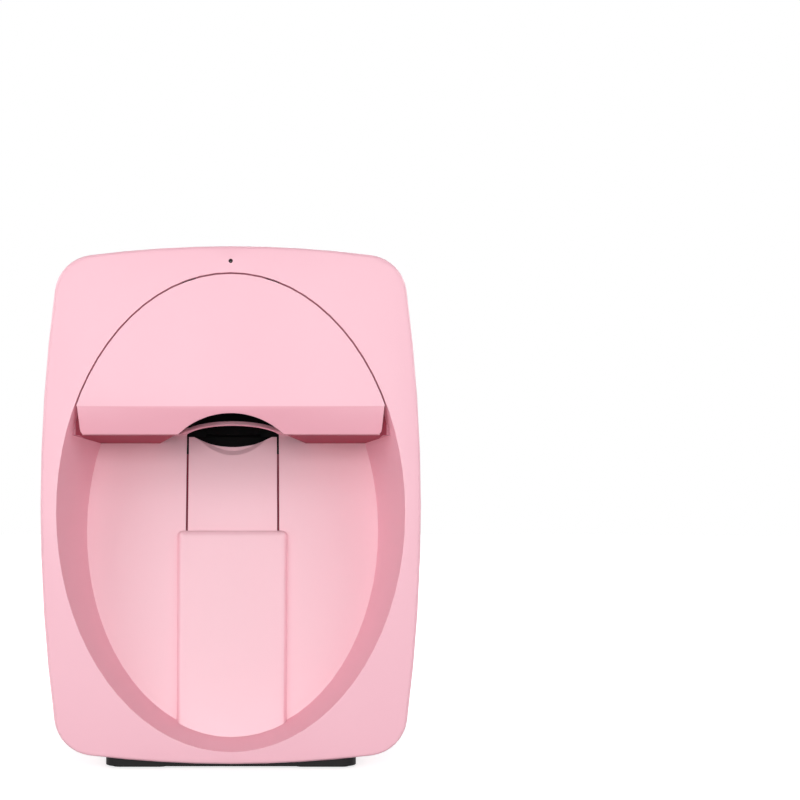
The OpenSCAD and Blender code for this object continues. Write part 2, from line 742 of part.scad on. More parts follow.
module indicator_lens() color([0.08, 0.08, 0.09]) in_body() {
  rod_y(0, 0.6, wall + 1, indicator_z, indicator_r);
  rod_y(0, wall, wall + 1, indicator_z, indicator_r + 1.4);
}
module indicator_board() color(board_green) in_body()
  block(-8, 8, indicator_board_y, indicator_board_y + 1.2, indicator_z - 3.4, indicator_z + 3.4);

// ---- chassis and finger bed ---------------------------------------------------------------

module chassis() {
  color(soft_black) in_tilt() difference() {
    union() {
      difference() {
        block(-chassis_half_w - chassis_sheet, chassis_half_w + chassis_sheet, chassis_back_y,
              chassis_back_y + chassis_sheet, chassis_low_w, chassis_top_w);
        both_sides() block(46, chassis_half_w - 8, 0, big, chassis_low_w + 12, chassis_top_w - 12);
      }
      both_sides() {
        difference() {
          block(chassis_half_w, chassis_half_w + chassis_sheet, ear_y, chassis_back_y + eps,
                chassis_low_w, chassis_top_w);
          block(0, big, ear_y + 12, chassis_back_y - 8, chassis_low_w + 14, chassis_top_w - 14);
        }
        for (w = ear_ws) block(chassis_half_w, ear_x + chassis_boss_r, ear_y, ear_y + chassis_sheet,
                               w - 6, w + 6);
        for (w = [chassis_low_w, chassis_top_w - sheet_t])
          block(rod_x_place - rail_r - 1.5, chassis_half_w + eps, ear_y, rod_y_place + 9, w, w + sheet_t);
      }
    }
    both_sides() rod_z(rod_x_place, rod_y_place, 0, big, rail_r);
    rod_z(-screw_x_place, rod_y_place, 0, chassis_low_w + 4, rail_r + play);
    rod_z(-screw_x_place, rod_y_place, chassis_top_w - 4, big, 4);
    for (x = [-ear_x, ear_x], w = ear_ws) rod_y(x, ear_y - 1, ear_y + 3, w, screw_r + 0.35);
  }
}
module stage_rods() color(steel) in_tilt() both_sides()
  rod_z(rod_x_place, rod_y_place, chassis_low_w, chassis_top_w, rail_r);
bed_wall_h = 12;
bed_hollow_r = 30;
module finger_bed() {
  color(soft_black) in_tilt() difference() {
    union() {
      block(-bed_half_w, bed_half_w, 0, chassis_back_y, bed_low_w, bed_high_w + 3);
      both_sides() block(bed_half_w, bed_half_w + 6, -bed_wall_h, chassis_back_y, bed_wall_w, bed_high_w);
      block(-bed_half_w - 6, bed_half_w + 6, -bed_wall_h + 2, 1, bed_high_w - 1, bed_high_w + 3);
    }
    // Hollow for the fingertip
    intersection() {
      rod_z(0, 3 - bed_hollow_r, 0, bed_high_w, bed_hollow_r);
      block(-bed_half_w, bed_half_w, -1, 5, 0, big);
    }
    both_sides() block(bed_half_w + 2, bed_half_w + 4, 2, chassis_back_y + 1, bed_wall_w + 3, bed_high_w - 3);
  }
}
module led_boards() color([0.92, 0.92, 0.88]) in_tilt() both_sides() {
  block(bed_half_w - 1.4, bed_half_w - 0.05, -bed_wall_h + 1, -1, bed_wall_w + 2, bed_high_w - 2);
}
cap_half_x = 7;
cap_low_w = nail_w - 12;
cap_high_w = nail_w + 12;
module cap_post() color(motor_grey) in_tilt() {
  block(bed_half_w + 7, park_x + cap_half_x, nozzle_y + 5, chassis_back_y, cap_low_w, cap_high_w);
  block(park_x - cap_half_x, park_x + cap_half_x, nozzle_y + 5, -bed_wall_h - 0.4, cap_low_w, cap_high_w);
}
module nozzle_cap() color(soft_black) in_tilt() difference() {
  block(park_x - cap_half_x + 1, park_x + cap_half_x - 1, nozzle_y + 0.4, nozzle_y + 5, nail_w - 9, nail_w + 9);
  block(park_x - 3.5, park_x + 3.5, nozzle_y, nozzle_y + 2.5, nail_w - 6, nail_w + 6);
}

// ---- stage --------------------------------------------------------------------------------

stage_motor_r = 7.5;
stage_motor_l = 12;
module stage_motor() color(motor_grey) in_tilt() difference() {
  union() {
    rod_z(-screw_x_place, rod_y_place, chassis_top_w, chassis_top_w + stage_motor_l, stage_motor_r);
    block(-screw_x_place - 3, -screw_x_place + 3, rod_y_place, rod_y_place + stage_motor_r + 2.5,
          chassis_top_w + 2, chassis_top_w + 8);
  }
  rod_z(-screw_x_place, rod_y_place, chassis_top_w - 1, chassis_top_w + 7, pulley_shaft_r + play);
}
module lead_screw() color(steel) in_tilt() {
  rod_z(-screw_x_place, rod_y_place, chassis_low_w + 0.5, chassis_top_w - sheet_t - 0.5, rail_r);
  rod_z(-screw_x_place, rod_y_place, chassis_low_w + 1, chassis_top_w + 6.5, pulley_shaft_r);
}
module stage_frame() {
  color(motor_grey) in_tilt() difference() {
    union() {
      both_sides() block(stage_half_w, stage_half_w + 3, carriage_front_y - 2, stage_back_y,
                         stage_low_w, stage_top_w - 2);
      block(-stage_half_w - 3, stage_half_w + 3, stage_back_y - sheet_t, stage_back_y,
            rail_top_w - 1, stage_top_w);
      block(-stage_half_w - 3, stage_half_w + 3, stage_back_y - sheet_t, stage_back_y,
            stage_low_w, stage_low_w + 6);
      both_sides() block(stage_half_w, bush_block_x, stage_back_y - sheet_t,
                         rod_y_place + 6, bush_low_w, bush_high_w);
      block(-screw_x_place - 7, -rod_x_place, stage_back_y - sheet_t, rod_y_place + 6,
            nut_low_w, nut_high_w);
    }
    for (w = [rail_low_w, rail_top_w]) rod_x(-big, big, rail_y, w, rail_r);
    both_sides() rod_z(rod_x_place, rod_y_place, 0, big, rail_r + bush_t);
    rod_z(-screw_x_place, rod_y_place, 0, big, rail_r + bush_t);
    rod_y(motor_x, stage_back_y - 5, stage_back_y + 5, belt_axis_w, 4);
    // The frame's sides are open between the rails
    both_sides() block(stage_half_w - 1, stage_half_w + 4, carriage_front_y + 4, stage_back_y - 6,
                       rail_low_w + 10, rail_top_w - 10);
  }
}
module tube_z(x, y, z0, z1, r_in, r_out) difference() {
  rod_z(x, y, z0, z1, r_out);
  rod_z(x, y, z0 - 1, z1 + 1, r_in);
}
module stage_bushes() color(brass) in_tilt() both_sides()
  tube_z(rod_x_place, rod_y_place, bush_low_w, bush_high_w, rail_r + play, rail_r + bush_t);
module lead_nut() color(brass) in_tilt() difference() {
  union() {
    rod_z(-screw_x_place, rod_y_place, nut_low_w, nut_high_w, rail_r + bush_t);
    rod_z(-screw_x_place, rod_y_place, nut_high_w, nut_high_w + 2, rail_r + bush_t + 1);
  }
  rod_z(-screw_x_place, rod_y_place, 0, big, rail_r + play);
  block(-bush_block_x - 0.2, 0, -big, big, nut_high_w, big);
}
module carriage_rails() color(steel) in_tilt() for (w = [rail_low_w, rail_top_w])
  rod_x(-stage_half_w - 5, stage_half_w + 5, rail_y, w, rail_r);

carriage_motor_r = 11;
module carriage_motor() color(motor_grey) in_tilt() difference() {
  rod_y(motor_x, stage_back_y, stage_back_y + 16, belt_axis_w, carriage_motor_r);
  rod_y(motor_x, stage_back_y - 1, stage_back_y + 6, belt_axis_w, pulley_shaft_r + play);
}
belt_y0 = rail_y - belt_w / 2;
belt_y1 = rail_y + belt_w / 2;
module pulley_form() {
  rod_y(0, belt_y0 - 0.3, belt_y1 + 0.3, 0, belt_r - 0.1);
  for (y = [belt_y0 - 1.3, belt_y1 + 0.3]) rod_y(0, y, y + 1, 0, pulley_flange_r);
}
module drive_pulley() color(steel) in_tilt() translate([motor_x, 0, belt_axis_w]) {
  pulley_form();
  rod_y(0, belt_y0 - 2.5, stage_back_y + 5, 0, pulley_shaft_r);
}
module idler_axle() color(steel) in_tilt() translate([idler_x, 0, belt_axis_w]) {
  rod_y(0, belt_y0 - 2.4, stage_back_y - sheet_t + eps, 0, pulley_shaft_r);
  rod_y(0, belt_y0 - 3.4, belt_y0 - 2.4, 0, pulley_shaft_r + 1.2);
}
module idler_pulley() color(soft_black) in_tilt() translate([idler_x, 0, belt_axis_w]) difference() {
  pulley_form();
  rod_y(0, -big, big, 0, pulley_shaft_r + play);
}
module belt_path(r) {
  translate([idler_x, belt_axis_w - r]) square([motor_x - idler_x, 2 * r]);
  for (x = [idler_x, motor_x]) translate([x, belt_axis_w]) circle(r);
}
module drive_belt() color([0.07, 0.07, 0.08]) in_tilt() prism(belt_y0, belt_y1) difference() {
  belt_path(belt_r + belt_t);
  belt_path(belt_r);
}

// ---- carriage -----------------------------------------------------------------------------

latch_y = cartridge_front_y + 1;
latch_w = nail_w + cartridge_t / 2 + 3.4;
latch_pin_r = 1.2;
latch_eye_r = 2.6;
clamp_x = park_x - 12;
module carriage() {
  color(soft_black) in_tilt() difference() {
    union() {
      block(park_x - carriage_half_w, park_x + carriage_half_w, carriage_front_y, carriage_back_y,
            nail_w - carriage_half_t, nail_w + carriage_half_t);
      for (w = [rail_low_w, rail_top_w])
        rod_x(park_x - carriage_half_w, park_x + carriage_half_w, rail_y, w, boss_r);
      // Ears for the latch pin
      for (x = [-1, 1]) block(park_x + x * (carriage_half_w - 1.1) - 1.1, park_x + x * (carriage_half_w - 1.1) + 1.1,
                              latch_y - 2.6, carriage_front_y + 1, latch_w - 2.6, latch_w + 2.6);
      // Clamp on the belt's lower run
      block(clamp_x - 5, clamp_x + 5, belt_y0 - 2, belt_y1 + 2, rail_top_w + boss_r - 2,
            belt_axis_w - belt_r + 1.6);
      // Camera bracket
      block(camera_x - 9, park_x - carriage_half_w + eps, carriage_front_y, carriage_front_y + 2,
            nail_w - 9, nail_w + 9);
    }
    // Pocket and snout hole
    block(park_x - cartridge_w / 2 - 0.2, park_x + cartridge_w / 2 + 0.2, -big, pocket_base_y,
          nail_w - cartridge_t / 2 - 0.2, nail_w + cartridge_t / 2 + 0.2);
    block(park_x - 8.2, park_x + 8.2, -big, 0, nail_w - 5.2, nail_w + 5.2);
    for (w = [rail_low_w, rail_top_w]) rod_x(-big, big, rail_y, w, rail_r + bush_t);
    block(clamp_x - 6, clamp_x + 6, belt_y0 - 0.3, belt_y1 + 0.3, belt_axis_w - belt_r - belt_t - 0.3,
          belt_axis_w - belt_r + 0.3);
    rod_x(-big, big, latch_y, latch_w, latch_pin_r);
  }
}
module carriage_bushes() color(brass) in_tilt()
  for (w = [rail_low_w, rail_top_w], x = [park_x - carriage_half_w, park_x + carriage_half_w - 8])
    difference() {
      rod_x(x, x + 8, rail_y, w, rail_r + bush_t);
      rod_x(x - 1, x + 9, rail_y, w, rail_r + play);
    }
camera_y = carriage_front_y + 2;
module camera() color([0.14, 0.15, 0.17]) in_tilt() difference() {
  union() {
    block(camera_x - 8, camera_x + 8, camera_y, camera_y + 5, nail_w - 8, nail_w + 8);
    rod_y(camera_x, camera_y + 4, camera_y + 12, nail_w, 4.6);
  }
  rod_y(camera_x, camera_y + 9, camera_y + 13, nail_w, 3.4);
}
module camera_lens() color([0.2, 0.25, 0.35]) in_tilt() difference() {
  rod_y(camera_x, camera_y + 9, camera_y + 11.4, nail_w, 3.35);
  translate([camera_x, camera_y + 17.6, nail_w]) sphere(r = 7.2);
}
module ink_cartridge() {
  color([0.16, 0.17, 0.20]) in_tilt() {
    block(park_x - cartridge_w / 2, park_x + cartridge_w / 2, cartridge_front_y, pocket_base_y - 0.2,
          nail_w - cartridge_t / 2, nail_w + cartridge_t / 2);
    block(park_x - 8, park_x + 8, pocket_base_y - 1, nozzle_y - 0.6, nail_w - 5, nail_w + 5);
    // Grip ridges on the face that shows when the lid is up
    for (i = [-2:2]) block(park_x - 8, park_x + 8, cartridge_front_y - 0.4, cartridge_front_y + 1,
                           nail_w - 7.4 + 2.4 * i, nail_w - 6.4 + 2.4 * i);
  }
}
module nozzle_plate() color(steel) in_tilt()
  block(park_x - 6, park_x + 6, nozzle_y - 0.6, nozzle_y, nail_w - 4, nail_w + 4);
module latch_pin() color(steel) in_tilt()
  rod_x(park_x - carriage_half_w, park_x + carriage_half_w, latch_y, latch_w, latch_pin_r);
latch_half_w = carriage_half_w - 2.6;
latch_tip_half_w = latch_half_w - 5;
latch_l = 13;
module cartridge_latch() {
  color(motor_grey) in_tilt() difference() {
    union() {
      rod_x(park_x - latch_half_w, park_x + latch_half_w, latch_y, latch_w, latch_eye_r);
      // The plate narrows, so that its swing clears the bay's rim
      prism(cartridge_front_y - 2.5, cartridge_front_y - 0.8) translate([park_x, latch_w]) polygon([
        [-latch_half_w, 0], [latch_half_w, 0], [latch_half_w, -4.5], [latch_tip_half_w, -latch_l],
        [-latch_tip_half_w, -latch_l], [-latch_half_w, -4.5]]);
      block(park_x - 6, park_x + 6, cartridge_front_y - 4, cartridge_front_y - 0.8, latch_w - latch_l,
            latch_w - latch_l + 2.5);
    }
    rod_x(-big, big, latch_y, latch_w, latch_pin_r + play);
    // Window over the cartridge's face
    block(park_x - 9, park_x + 9, -big, cartridge_front_y, latch_w - 9, latch_w - 4);
  }
}

// ---- electronics --------------------------------------------------------------------------

module main_board() color(board_green) in_body() difference() {
  block(-board_half_w, board_half_w, board_depth, board_depth + board_t, board_z0, board_z1);
  for (x = [-board_hole_x, board_hole_x], z = board_hole_zs) rod_y(x, 0, body_d, z, screw_r + 0.25);
}
module board_parts() color([0.12, 0.12, 0.13]) in_body() {
  block(-20, 4, board_depth - 2, board_depth, 140, 164);
  block(16, 28, board_depth - 1.6, board_depth, 146, 160);
  for (i = [0:3]) block(-44 + 18 * i, -31 + 18 * i, board_depth - 6, board_depth, 98, 104);
  for (i = [0:2]) rod_y(38, board_depth - 11, board_depth, 110 + 14 * i, 5);
  for (i = [0:2]) block(-46, -40, board_depth - 7, board_depth, 120 + 22 * i, 136 + 22 * i);
}
battery_half_w = 38;
battery_h = 38;
battery_half_d = 19;
module battery_tray() color(soft_black) in_body() difference() {
  block(-battery_half_w - 2.3, battery_half_w + 2.3, battery_depth - battery_half_d - 2.3,
        battery_depth + battery_half_d + 2.3, battery_floor_z, battery_floor_z + 14);
  block(-battery_half_w - 0.3, battery_half_w + 0.3, battery_depth - battery_half_d - 0.3,
        battery_depth + battery_half_d + 0.3, battery_floor_z + 2, big);
}
module battery_pack() color([0.20, 0.36, 0.62]) in_body() {
  z0 = battery_floor_z + 2;
  for (y = [-1, 1], z = [0, 1]) rod_x(-battery_half_w, battery_half_w, battery_depth + y * battery_half_d / 2,
                                      z0 + battery_half_d / 2 + z * battery_half_d, battery_half_d / 2);
  block(-battery_half_w, battery_half_w, battery_depth - battery_half_d / 2, battery_depth + battery_half_d / 2,
        z0, z0 + 2 * battery_half_d);
}
fan_bore_r = fan_size / 2 - 2;
fan_hub_r = fan_size * 0.21;
fan_shaft_r = 1;
module fan_frame() {
  color(soft_black) in_body() difference() {
    union() {
      difference() {
        translate([fan_x, 0, fan_z]) block(-fan_size / 2, fan_size / 2, rear_in - fan_t, rear_in,
                                           -fan_size / 2, fan_size / 2);
        rod_y(fan_x, 0, body_d, fan_z, fan_bore_r);
      }
      rod_y(fan_x, rear_in - 2, rear_in, fan_z, fan_hub_r);
      translate([fan_x, 0, fan_z]) for (a = [45:90:315]) rotate([0, a, 0])
        block(-1.2, 1.2, rear_in - 2, rear_in, 0, fan_bore_r + 1);
    }
    rod_y(fan_x, 0, body_d, fan_z, fan_shaft_r + play);
    for (x = [-1, 1], z = [-1, 1])
      rod_y(fan_x + x * (fan_size / 2 - 3.5), 0, body_d, fan_z + z * (fan_size / 2 - 3.5), 1.7);
  }
}
fan_blades = 7;
module fan_rotor() {
  y0 = rear_in - fan_t + 0.8;
  y1 = rear_in - 2.6;
  color([0.16, 0.16, 0.17]) in_body() {
    rod_y(fan_x, y0, y1, fan_z, fan_hub_r);
    rod_y(fan_x, y0, rear_in - 0.2, fan_z, fan_shaft_r);
    intersection() {
      rod_y(fan_x, y0, y1, fan_z, fan_bore_r - 0.8);
      translate([fan_x, (y0 + y1) / 2, fan_z]) for (i = [0:fan_blades - 1])
        rotate([0, 360 * i / fan_blades, 0]) rotate([0, 0, 38]) block(-5.5, 5.5, -0.5, 0.5, 4, fan_bore_r + 2);
    }
  }
}
module power_board() color(board_green) in_body()
  block(-54, 54, rear_in - 30, rear_in - 1.5, power_board_z, power_board_z + board_t);
module power_inlet() {
  z0 = power_board_z + board_t;
  color(soft_black) in_body() difference() {
    union() {
      block(-button_x - 5, -button_x + 5, rear_in - 14, rear_in - 0.05, z0, rear_parts_z + 6);
      rod_y(-button_x, rear_in - 1, body_d - 0.4, rear_parts_z, inlet_r + 1.7);
    }
    rod_y(-button_x, rear_in - 9, body_d + 1, rear_parts_z, inlet_r);
  }
}
switch_front = rear_in - 6.8;
module button_switch() {
  z0 = power_board_z + board_t;
  color(motor_grey) in_body() {
    block(button_x - 4, button_x + 4, switch_front - 6, switch_front, z0, rear_parts_z + 4);
  }
}
module power_button() {
  color([0.95, 0.95, 0.95]) in_body() {
    rod_y(button_x, rear_in - 2.5, body_d - 0.3, rear_parts_z, button_r);
    rod_y(button_x, rear_in - 2.5, rear_in - 0.6, rear_parts_z, button_r + 1.4);
    rod_y(button_x, switch_front + button_travel + 0.3, rear_in - 2, rear_parts_z, 2);
  }
}
module housing_screws() color(steel) in_body() for (p = housing_screws_at) {
  rod_y(p[0], split_depth + screw_grip, split_depth + screw_grip + screw_head_h, p[1], screw_head_r);
  rod_y(p[0], split_depth - 10, split_depth + screw_grip + 1, p[1], screw_r);
}
module chassis_screws() color(steel) in_tilt() for (x = [-ear_x, ear_x], w = ear_ws) {
  rod_y(x, ear_y + chassis_sheet, ear_y + chassis_sheet + screw_head_h, w, screw_head_r);
  rod_y(x, ear_y - 8, ear_y + chassis_sheet + 1, w, screw_r);
}

front_housing();
rear_housing();
base_plate();
rubber_feet();
palm_rest();
finger_guard();
tray_channel();
finger_tray();
lid();
lid_arms();
lid_magnets();
magnet_keepers();
hinge_pins();
indicator_lens();
indicator_board();
chassis();
stage_rods();
finger_bed();
led_boards();
cap_post();
nozzle_cap();
stage_motor();
lead_screw();
stage_frame();
stage_bushes();
lead_nut();
carriage_rails();
carriage_motor();
drive_pulley();
idler_axle();
idler_pulley();
drive_belt();
carriage();
carriage_bushes();
camera();
camera_lens();
ink_cartridge();
nozzle_plate();
latch_pin();
cartridge_latch();
main_board();
board_parts();
battery_tray();
battery_pack();
fan_frame();
fan_rotor();
power_board();
power_inlet();
button_switch();
power_button();
housing_screws();
chassis_screws();
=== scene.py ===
"""Dressed scene of a tabletop nail art printer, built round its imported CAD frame.

Lengths are metres in the CAD's own frame: +Z up, the front face looks along -Y, and the object stands on
the ground.
"""

import json
import logging
import math
from dataclasses import dataclass
from enum import Enum
from typing import Callable, Sequence, Union

import bmesh
import bpy
from mathutils import Matrix, Vector


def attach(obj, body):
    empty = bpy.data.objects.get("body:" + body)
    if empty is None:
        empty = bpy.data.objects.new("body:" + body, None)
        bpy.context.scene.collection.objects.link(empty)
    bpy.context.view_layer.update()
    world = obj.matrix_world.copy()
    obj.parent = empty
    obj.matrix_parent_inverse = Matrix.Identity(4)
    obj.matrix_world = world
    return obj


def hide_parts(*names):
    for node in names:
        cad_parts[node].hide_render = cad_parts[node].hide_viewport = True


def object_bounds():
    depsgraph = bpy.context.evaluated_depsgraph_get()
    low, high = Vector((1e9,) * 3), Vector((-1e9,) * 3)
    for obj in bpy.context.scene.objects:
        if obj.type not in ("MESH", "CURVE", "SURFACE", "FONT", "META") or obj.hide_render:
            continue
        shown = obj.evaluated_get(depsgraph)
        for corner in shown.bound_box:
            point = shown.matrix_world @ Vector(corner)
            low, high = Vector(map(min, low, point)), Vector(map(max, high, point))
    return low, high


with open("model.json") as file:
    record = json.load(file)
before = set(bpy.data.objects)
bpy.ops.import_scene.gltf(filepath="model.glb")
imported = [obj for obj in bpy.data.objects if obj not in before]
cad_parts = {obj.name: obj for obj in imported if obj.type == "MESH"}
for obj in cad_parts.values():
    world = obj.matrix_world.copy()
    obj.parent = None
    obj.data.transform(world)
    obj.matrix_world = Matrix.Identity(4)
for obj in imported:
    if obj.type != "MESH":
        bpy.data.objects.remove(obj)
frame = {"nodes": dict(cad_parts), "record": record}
CAD_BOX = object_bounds()
LOG = logging.getLogger("scene")
MM = 0.001

Colour = tuple[float, float, float]
Point = tuple[float, float, float]
Value = Union["Sock", float, int, Sequence[float], bpy.types.NodeSocket]


def linear(colour: Colour) -> tuple[float, float, float, float]:
    """Turns an sRGB colour into the linear one that a shader takes.

    Args:
        colour: Red, green and blue, 0 to 1, as they look on a screen.

    Returns:
        Linear red, green and blue with an alpha of 1.
    """
    return tuple(c / 12.92 if c <= 0.04045 else ((c + 0.055) / 1.055) ** 2.4 for c in colour) + (1.0,)


# ---- shader maths -------------------------------------------------------------------------


class Sock:
    """A shader socket that takes part in Python expressions."""

    def __init__(self, bench: "Bench", socket: bpy.types.NodeSocket) -> None:
        """Keeps the socket with the bench that its nodes are made on."""
        self.bench = bench
        self.socket = socket

    def _math(self, operation: str, *values: Value) -> "Sock":
        """Adds a Math node of the given operation."""
        return self.bench.node("ShaderNodeMath", {"operation": operation}, dict(enumerate(values)))

    def __add__(self, other: Value) -> "Sock":
        """self + other."""
        return self._math("ADD", self, other)

    def __radd__(self, other: Value) -> "Sock":
        """other + self."""
        return self._math("ADD", other, self)

    def __sub__(self, other: Value) -> "Sock":
        """self - other."""
        return self._math("SUBTRACT", self, other)

    def __rsub__(self, other: Value) -> "Sock":
        """other - self."""
        return self._math("SUBTRACT", other, self)

    def __mul__(self, other: Value) -> "Sock":
        """self * other."""
        return self._math("MULTIPLY", self, other)

    def __rmul__(self, other: Value) -> "Sock":
        """other * self."""
        return self._math("MULTIPLY", other, self)

    def step(self, low: float, high: float) -> "Sock":
        """A smooth rise from 0 at low to 1 at high."""
        return self.bench.node(
            "ShaderNodeMapRange", {"interpolation_type": "SMOOTHSTEP"}, {
                0: self, 1: low, 2: high, 3: 0.0, 4: 1.0
            }
        )


class Bench:
    """One material's node tree, and the short ways to fill it."""

    def __init__(self, name: str) -> None:
        """Makes an empty material with a Principled shader on its output."""
        self.material = bpy.data.materials.new(name)
        self.material.use_nodes = True
        self.tree = self.material.node_tree
        self.tree.nodes.clear()
        self.output = self.tree.nodes.new("ShaderNodeOutputMaterial")
        self.shader = self.tree.nodes.new("ShaderNodeBsdfPrincipled")
        self.tree.links.new(self.shader.outputs[0], self.output.inputs["Surface"])

    def node(
        self, kind: str, settings: dict[str, object], values: dict[Union[int, str], Value],
        out: Union[int, str] = 0,
    ) -> Sock:
        """Adds a node, sets it up and fills its sockets.

        Args:
            kind: Blender's type name of the node.
            settings: Its own settings, set first.
            values: A number, a vector or a link for each named or numbered input.
            out: Which output to return.

        Returns:
            The wanted output.
        """
        made = self.tree.nodes.new(kind)
        for key, setting in settings.items():
            setattr(made, key, setting)
        for key, value in values.items():
            self.put(made.inputs[key], value)
        return Sock(self, made.outputs[out])

    def put(self, socket: bpy.types.NodeSocket, value: Value) -> None:
        """Links a socket, or sets its default value."""
        if isinstance(value, Sock):
            self.tree.links.new(value.socket, socket)
        else:
            socket.default_value = value

    def place(
        self, scale: Union[float, Point] = 1.0, turn: Point = (0, 0, 0), shift: Point = (0, 0, 0)
    ) -> Sock:
        """Object coordinates, scaled and turned."""
        size = (scale,) * 3 if isinstance(scale, (int, float)) else scale
        coords = self.node("ShaderNodeTexCoord", {}, {}, "Object")
        return self.node(
            "ShaderNodeMapping", {}, {"Vector": coords, "Scale": size, "Rotation": turn, "Location": shift}
        )

    def noise(
        self, scale: float, detail: float = 3.0, rough: float = 0.5, stretch: Point = (1, 1, 1),
        turn: Point = (0, 0, 0),
    ) -> Sock:
        """Noise of the given count per metre, around 0.5."""
        size = tuple(scale * s for s in stretch)
        return self.node(
            "ShaderNodeTexNoise", {}, {
                "Vector": self.place(size, turn), "Scale": 1.0, "Detail": detail, "Roughness": rough
            }, "Fac"
        )

    def cells(self, scale: float, stretch: Point = (1, 1, 1), out: str = "Distance") -> Sock:
        """Voronoi cells of the given count per metre."""
        size = tuple(scale * s for s in stretch)
        return self.node("ShaderNodeTexVoronoi", {}, {"Vector": self.place(size), "Scale": 1.0}, out)

    def mix(self, share: Value, low: Value, high: Value) -> Sock:
        """A colour between two, by share."""
        made = self.tree.nodes.new("ShaderNodeMix")
        made.data_type = "RGBA"
        ends = [linear(v) if isinstance(v, tuple) and len(v) == 3 else v for v in (low, high)]
        for socket, value in zip((made.inputs[0], made.inputs[6], made.inputs[7]), (share, *ends)):
            self.put(socket, value)
        return Sock(self, made.outputs[2])

    def bump(self, height: Value, depth: float, strength: float = 1.0, under: "Sock | None" = None) -> Sock:
        """A bumped normal, depth in metres for a height of 1."""
        values: dict[Union[int, str], Value] = {"Height": height, "Distance": depth, "Strength": strength}
        if under is not None:
            values["Normal"] = under
        return self.node("ShaderNodeBump", {}, values, "Normal")

    def finish(self, **inputs: Value) -> bpy.types.Material:
        """Fills the Principled shader's sockets, named with underscores for spaces.

        Args:
            **inputs: A number, a colour or a link for each socket.

        Returns:
            The finished material.
        """
        for key, value in inputs.items():
            name = key.replace("_", " ")
            if isinstance(value, tuple) and len(value) == 3 and name in ("Base Color", "Emission Color"):
                value = linear(value)
            self.put(self.shader.inputs[name], value)
        return self.material


# ---- finishes -----------------------------------------------------------------------------


class Look(Enum):
    """How a finish is made."""

    MOULDED = "moulded"
    ROLLED = "rolled"
    TURNED = "turned"
    COATED = "coated"
    RUBBER = "rubber"
    BOARD = "board"
    SLEEVE = "sleeve"
    GLASS = "glass"


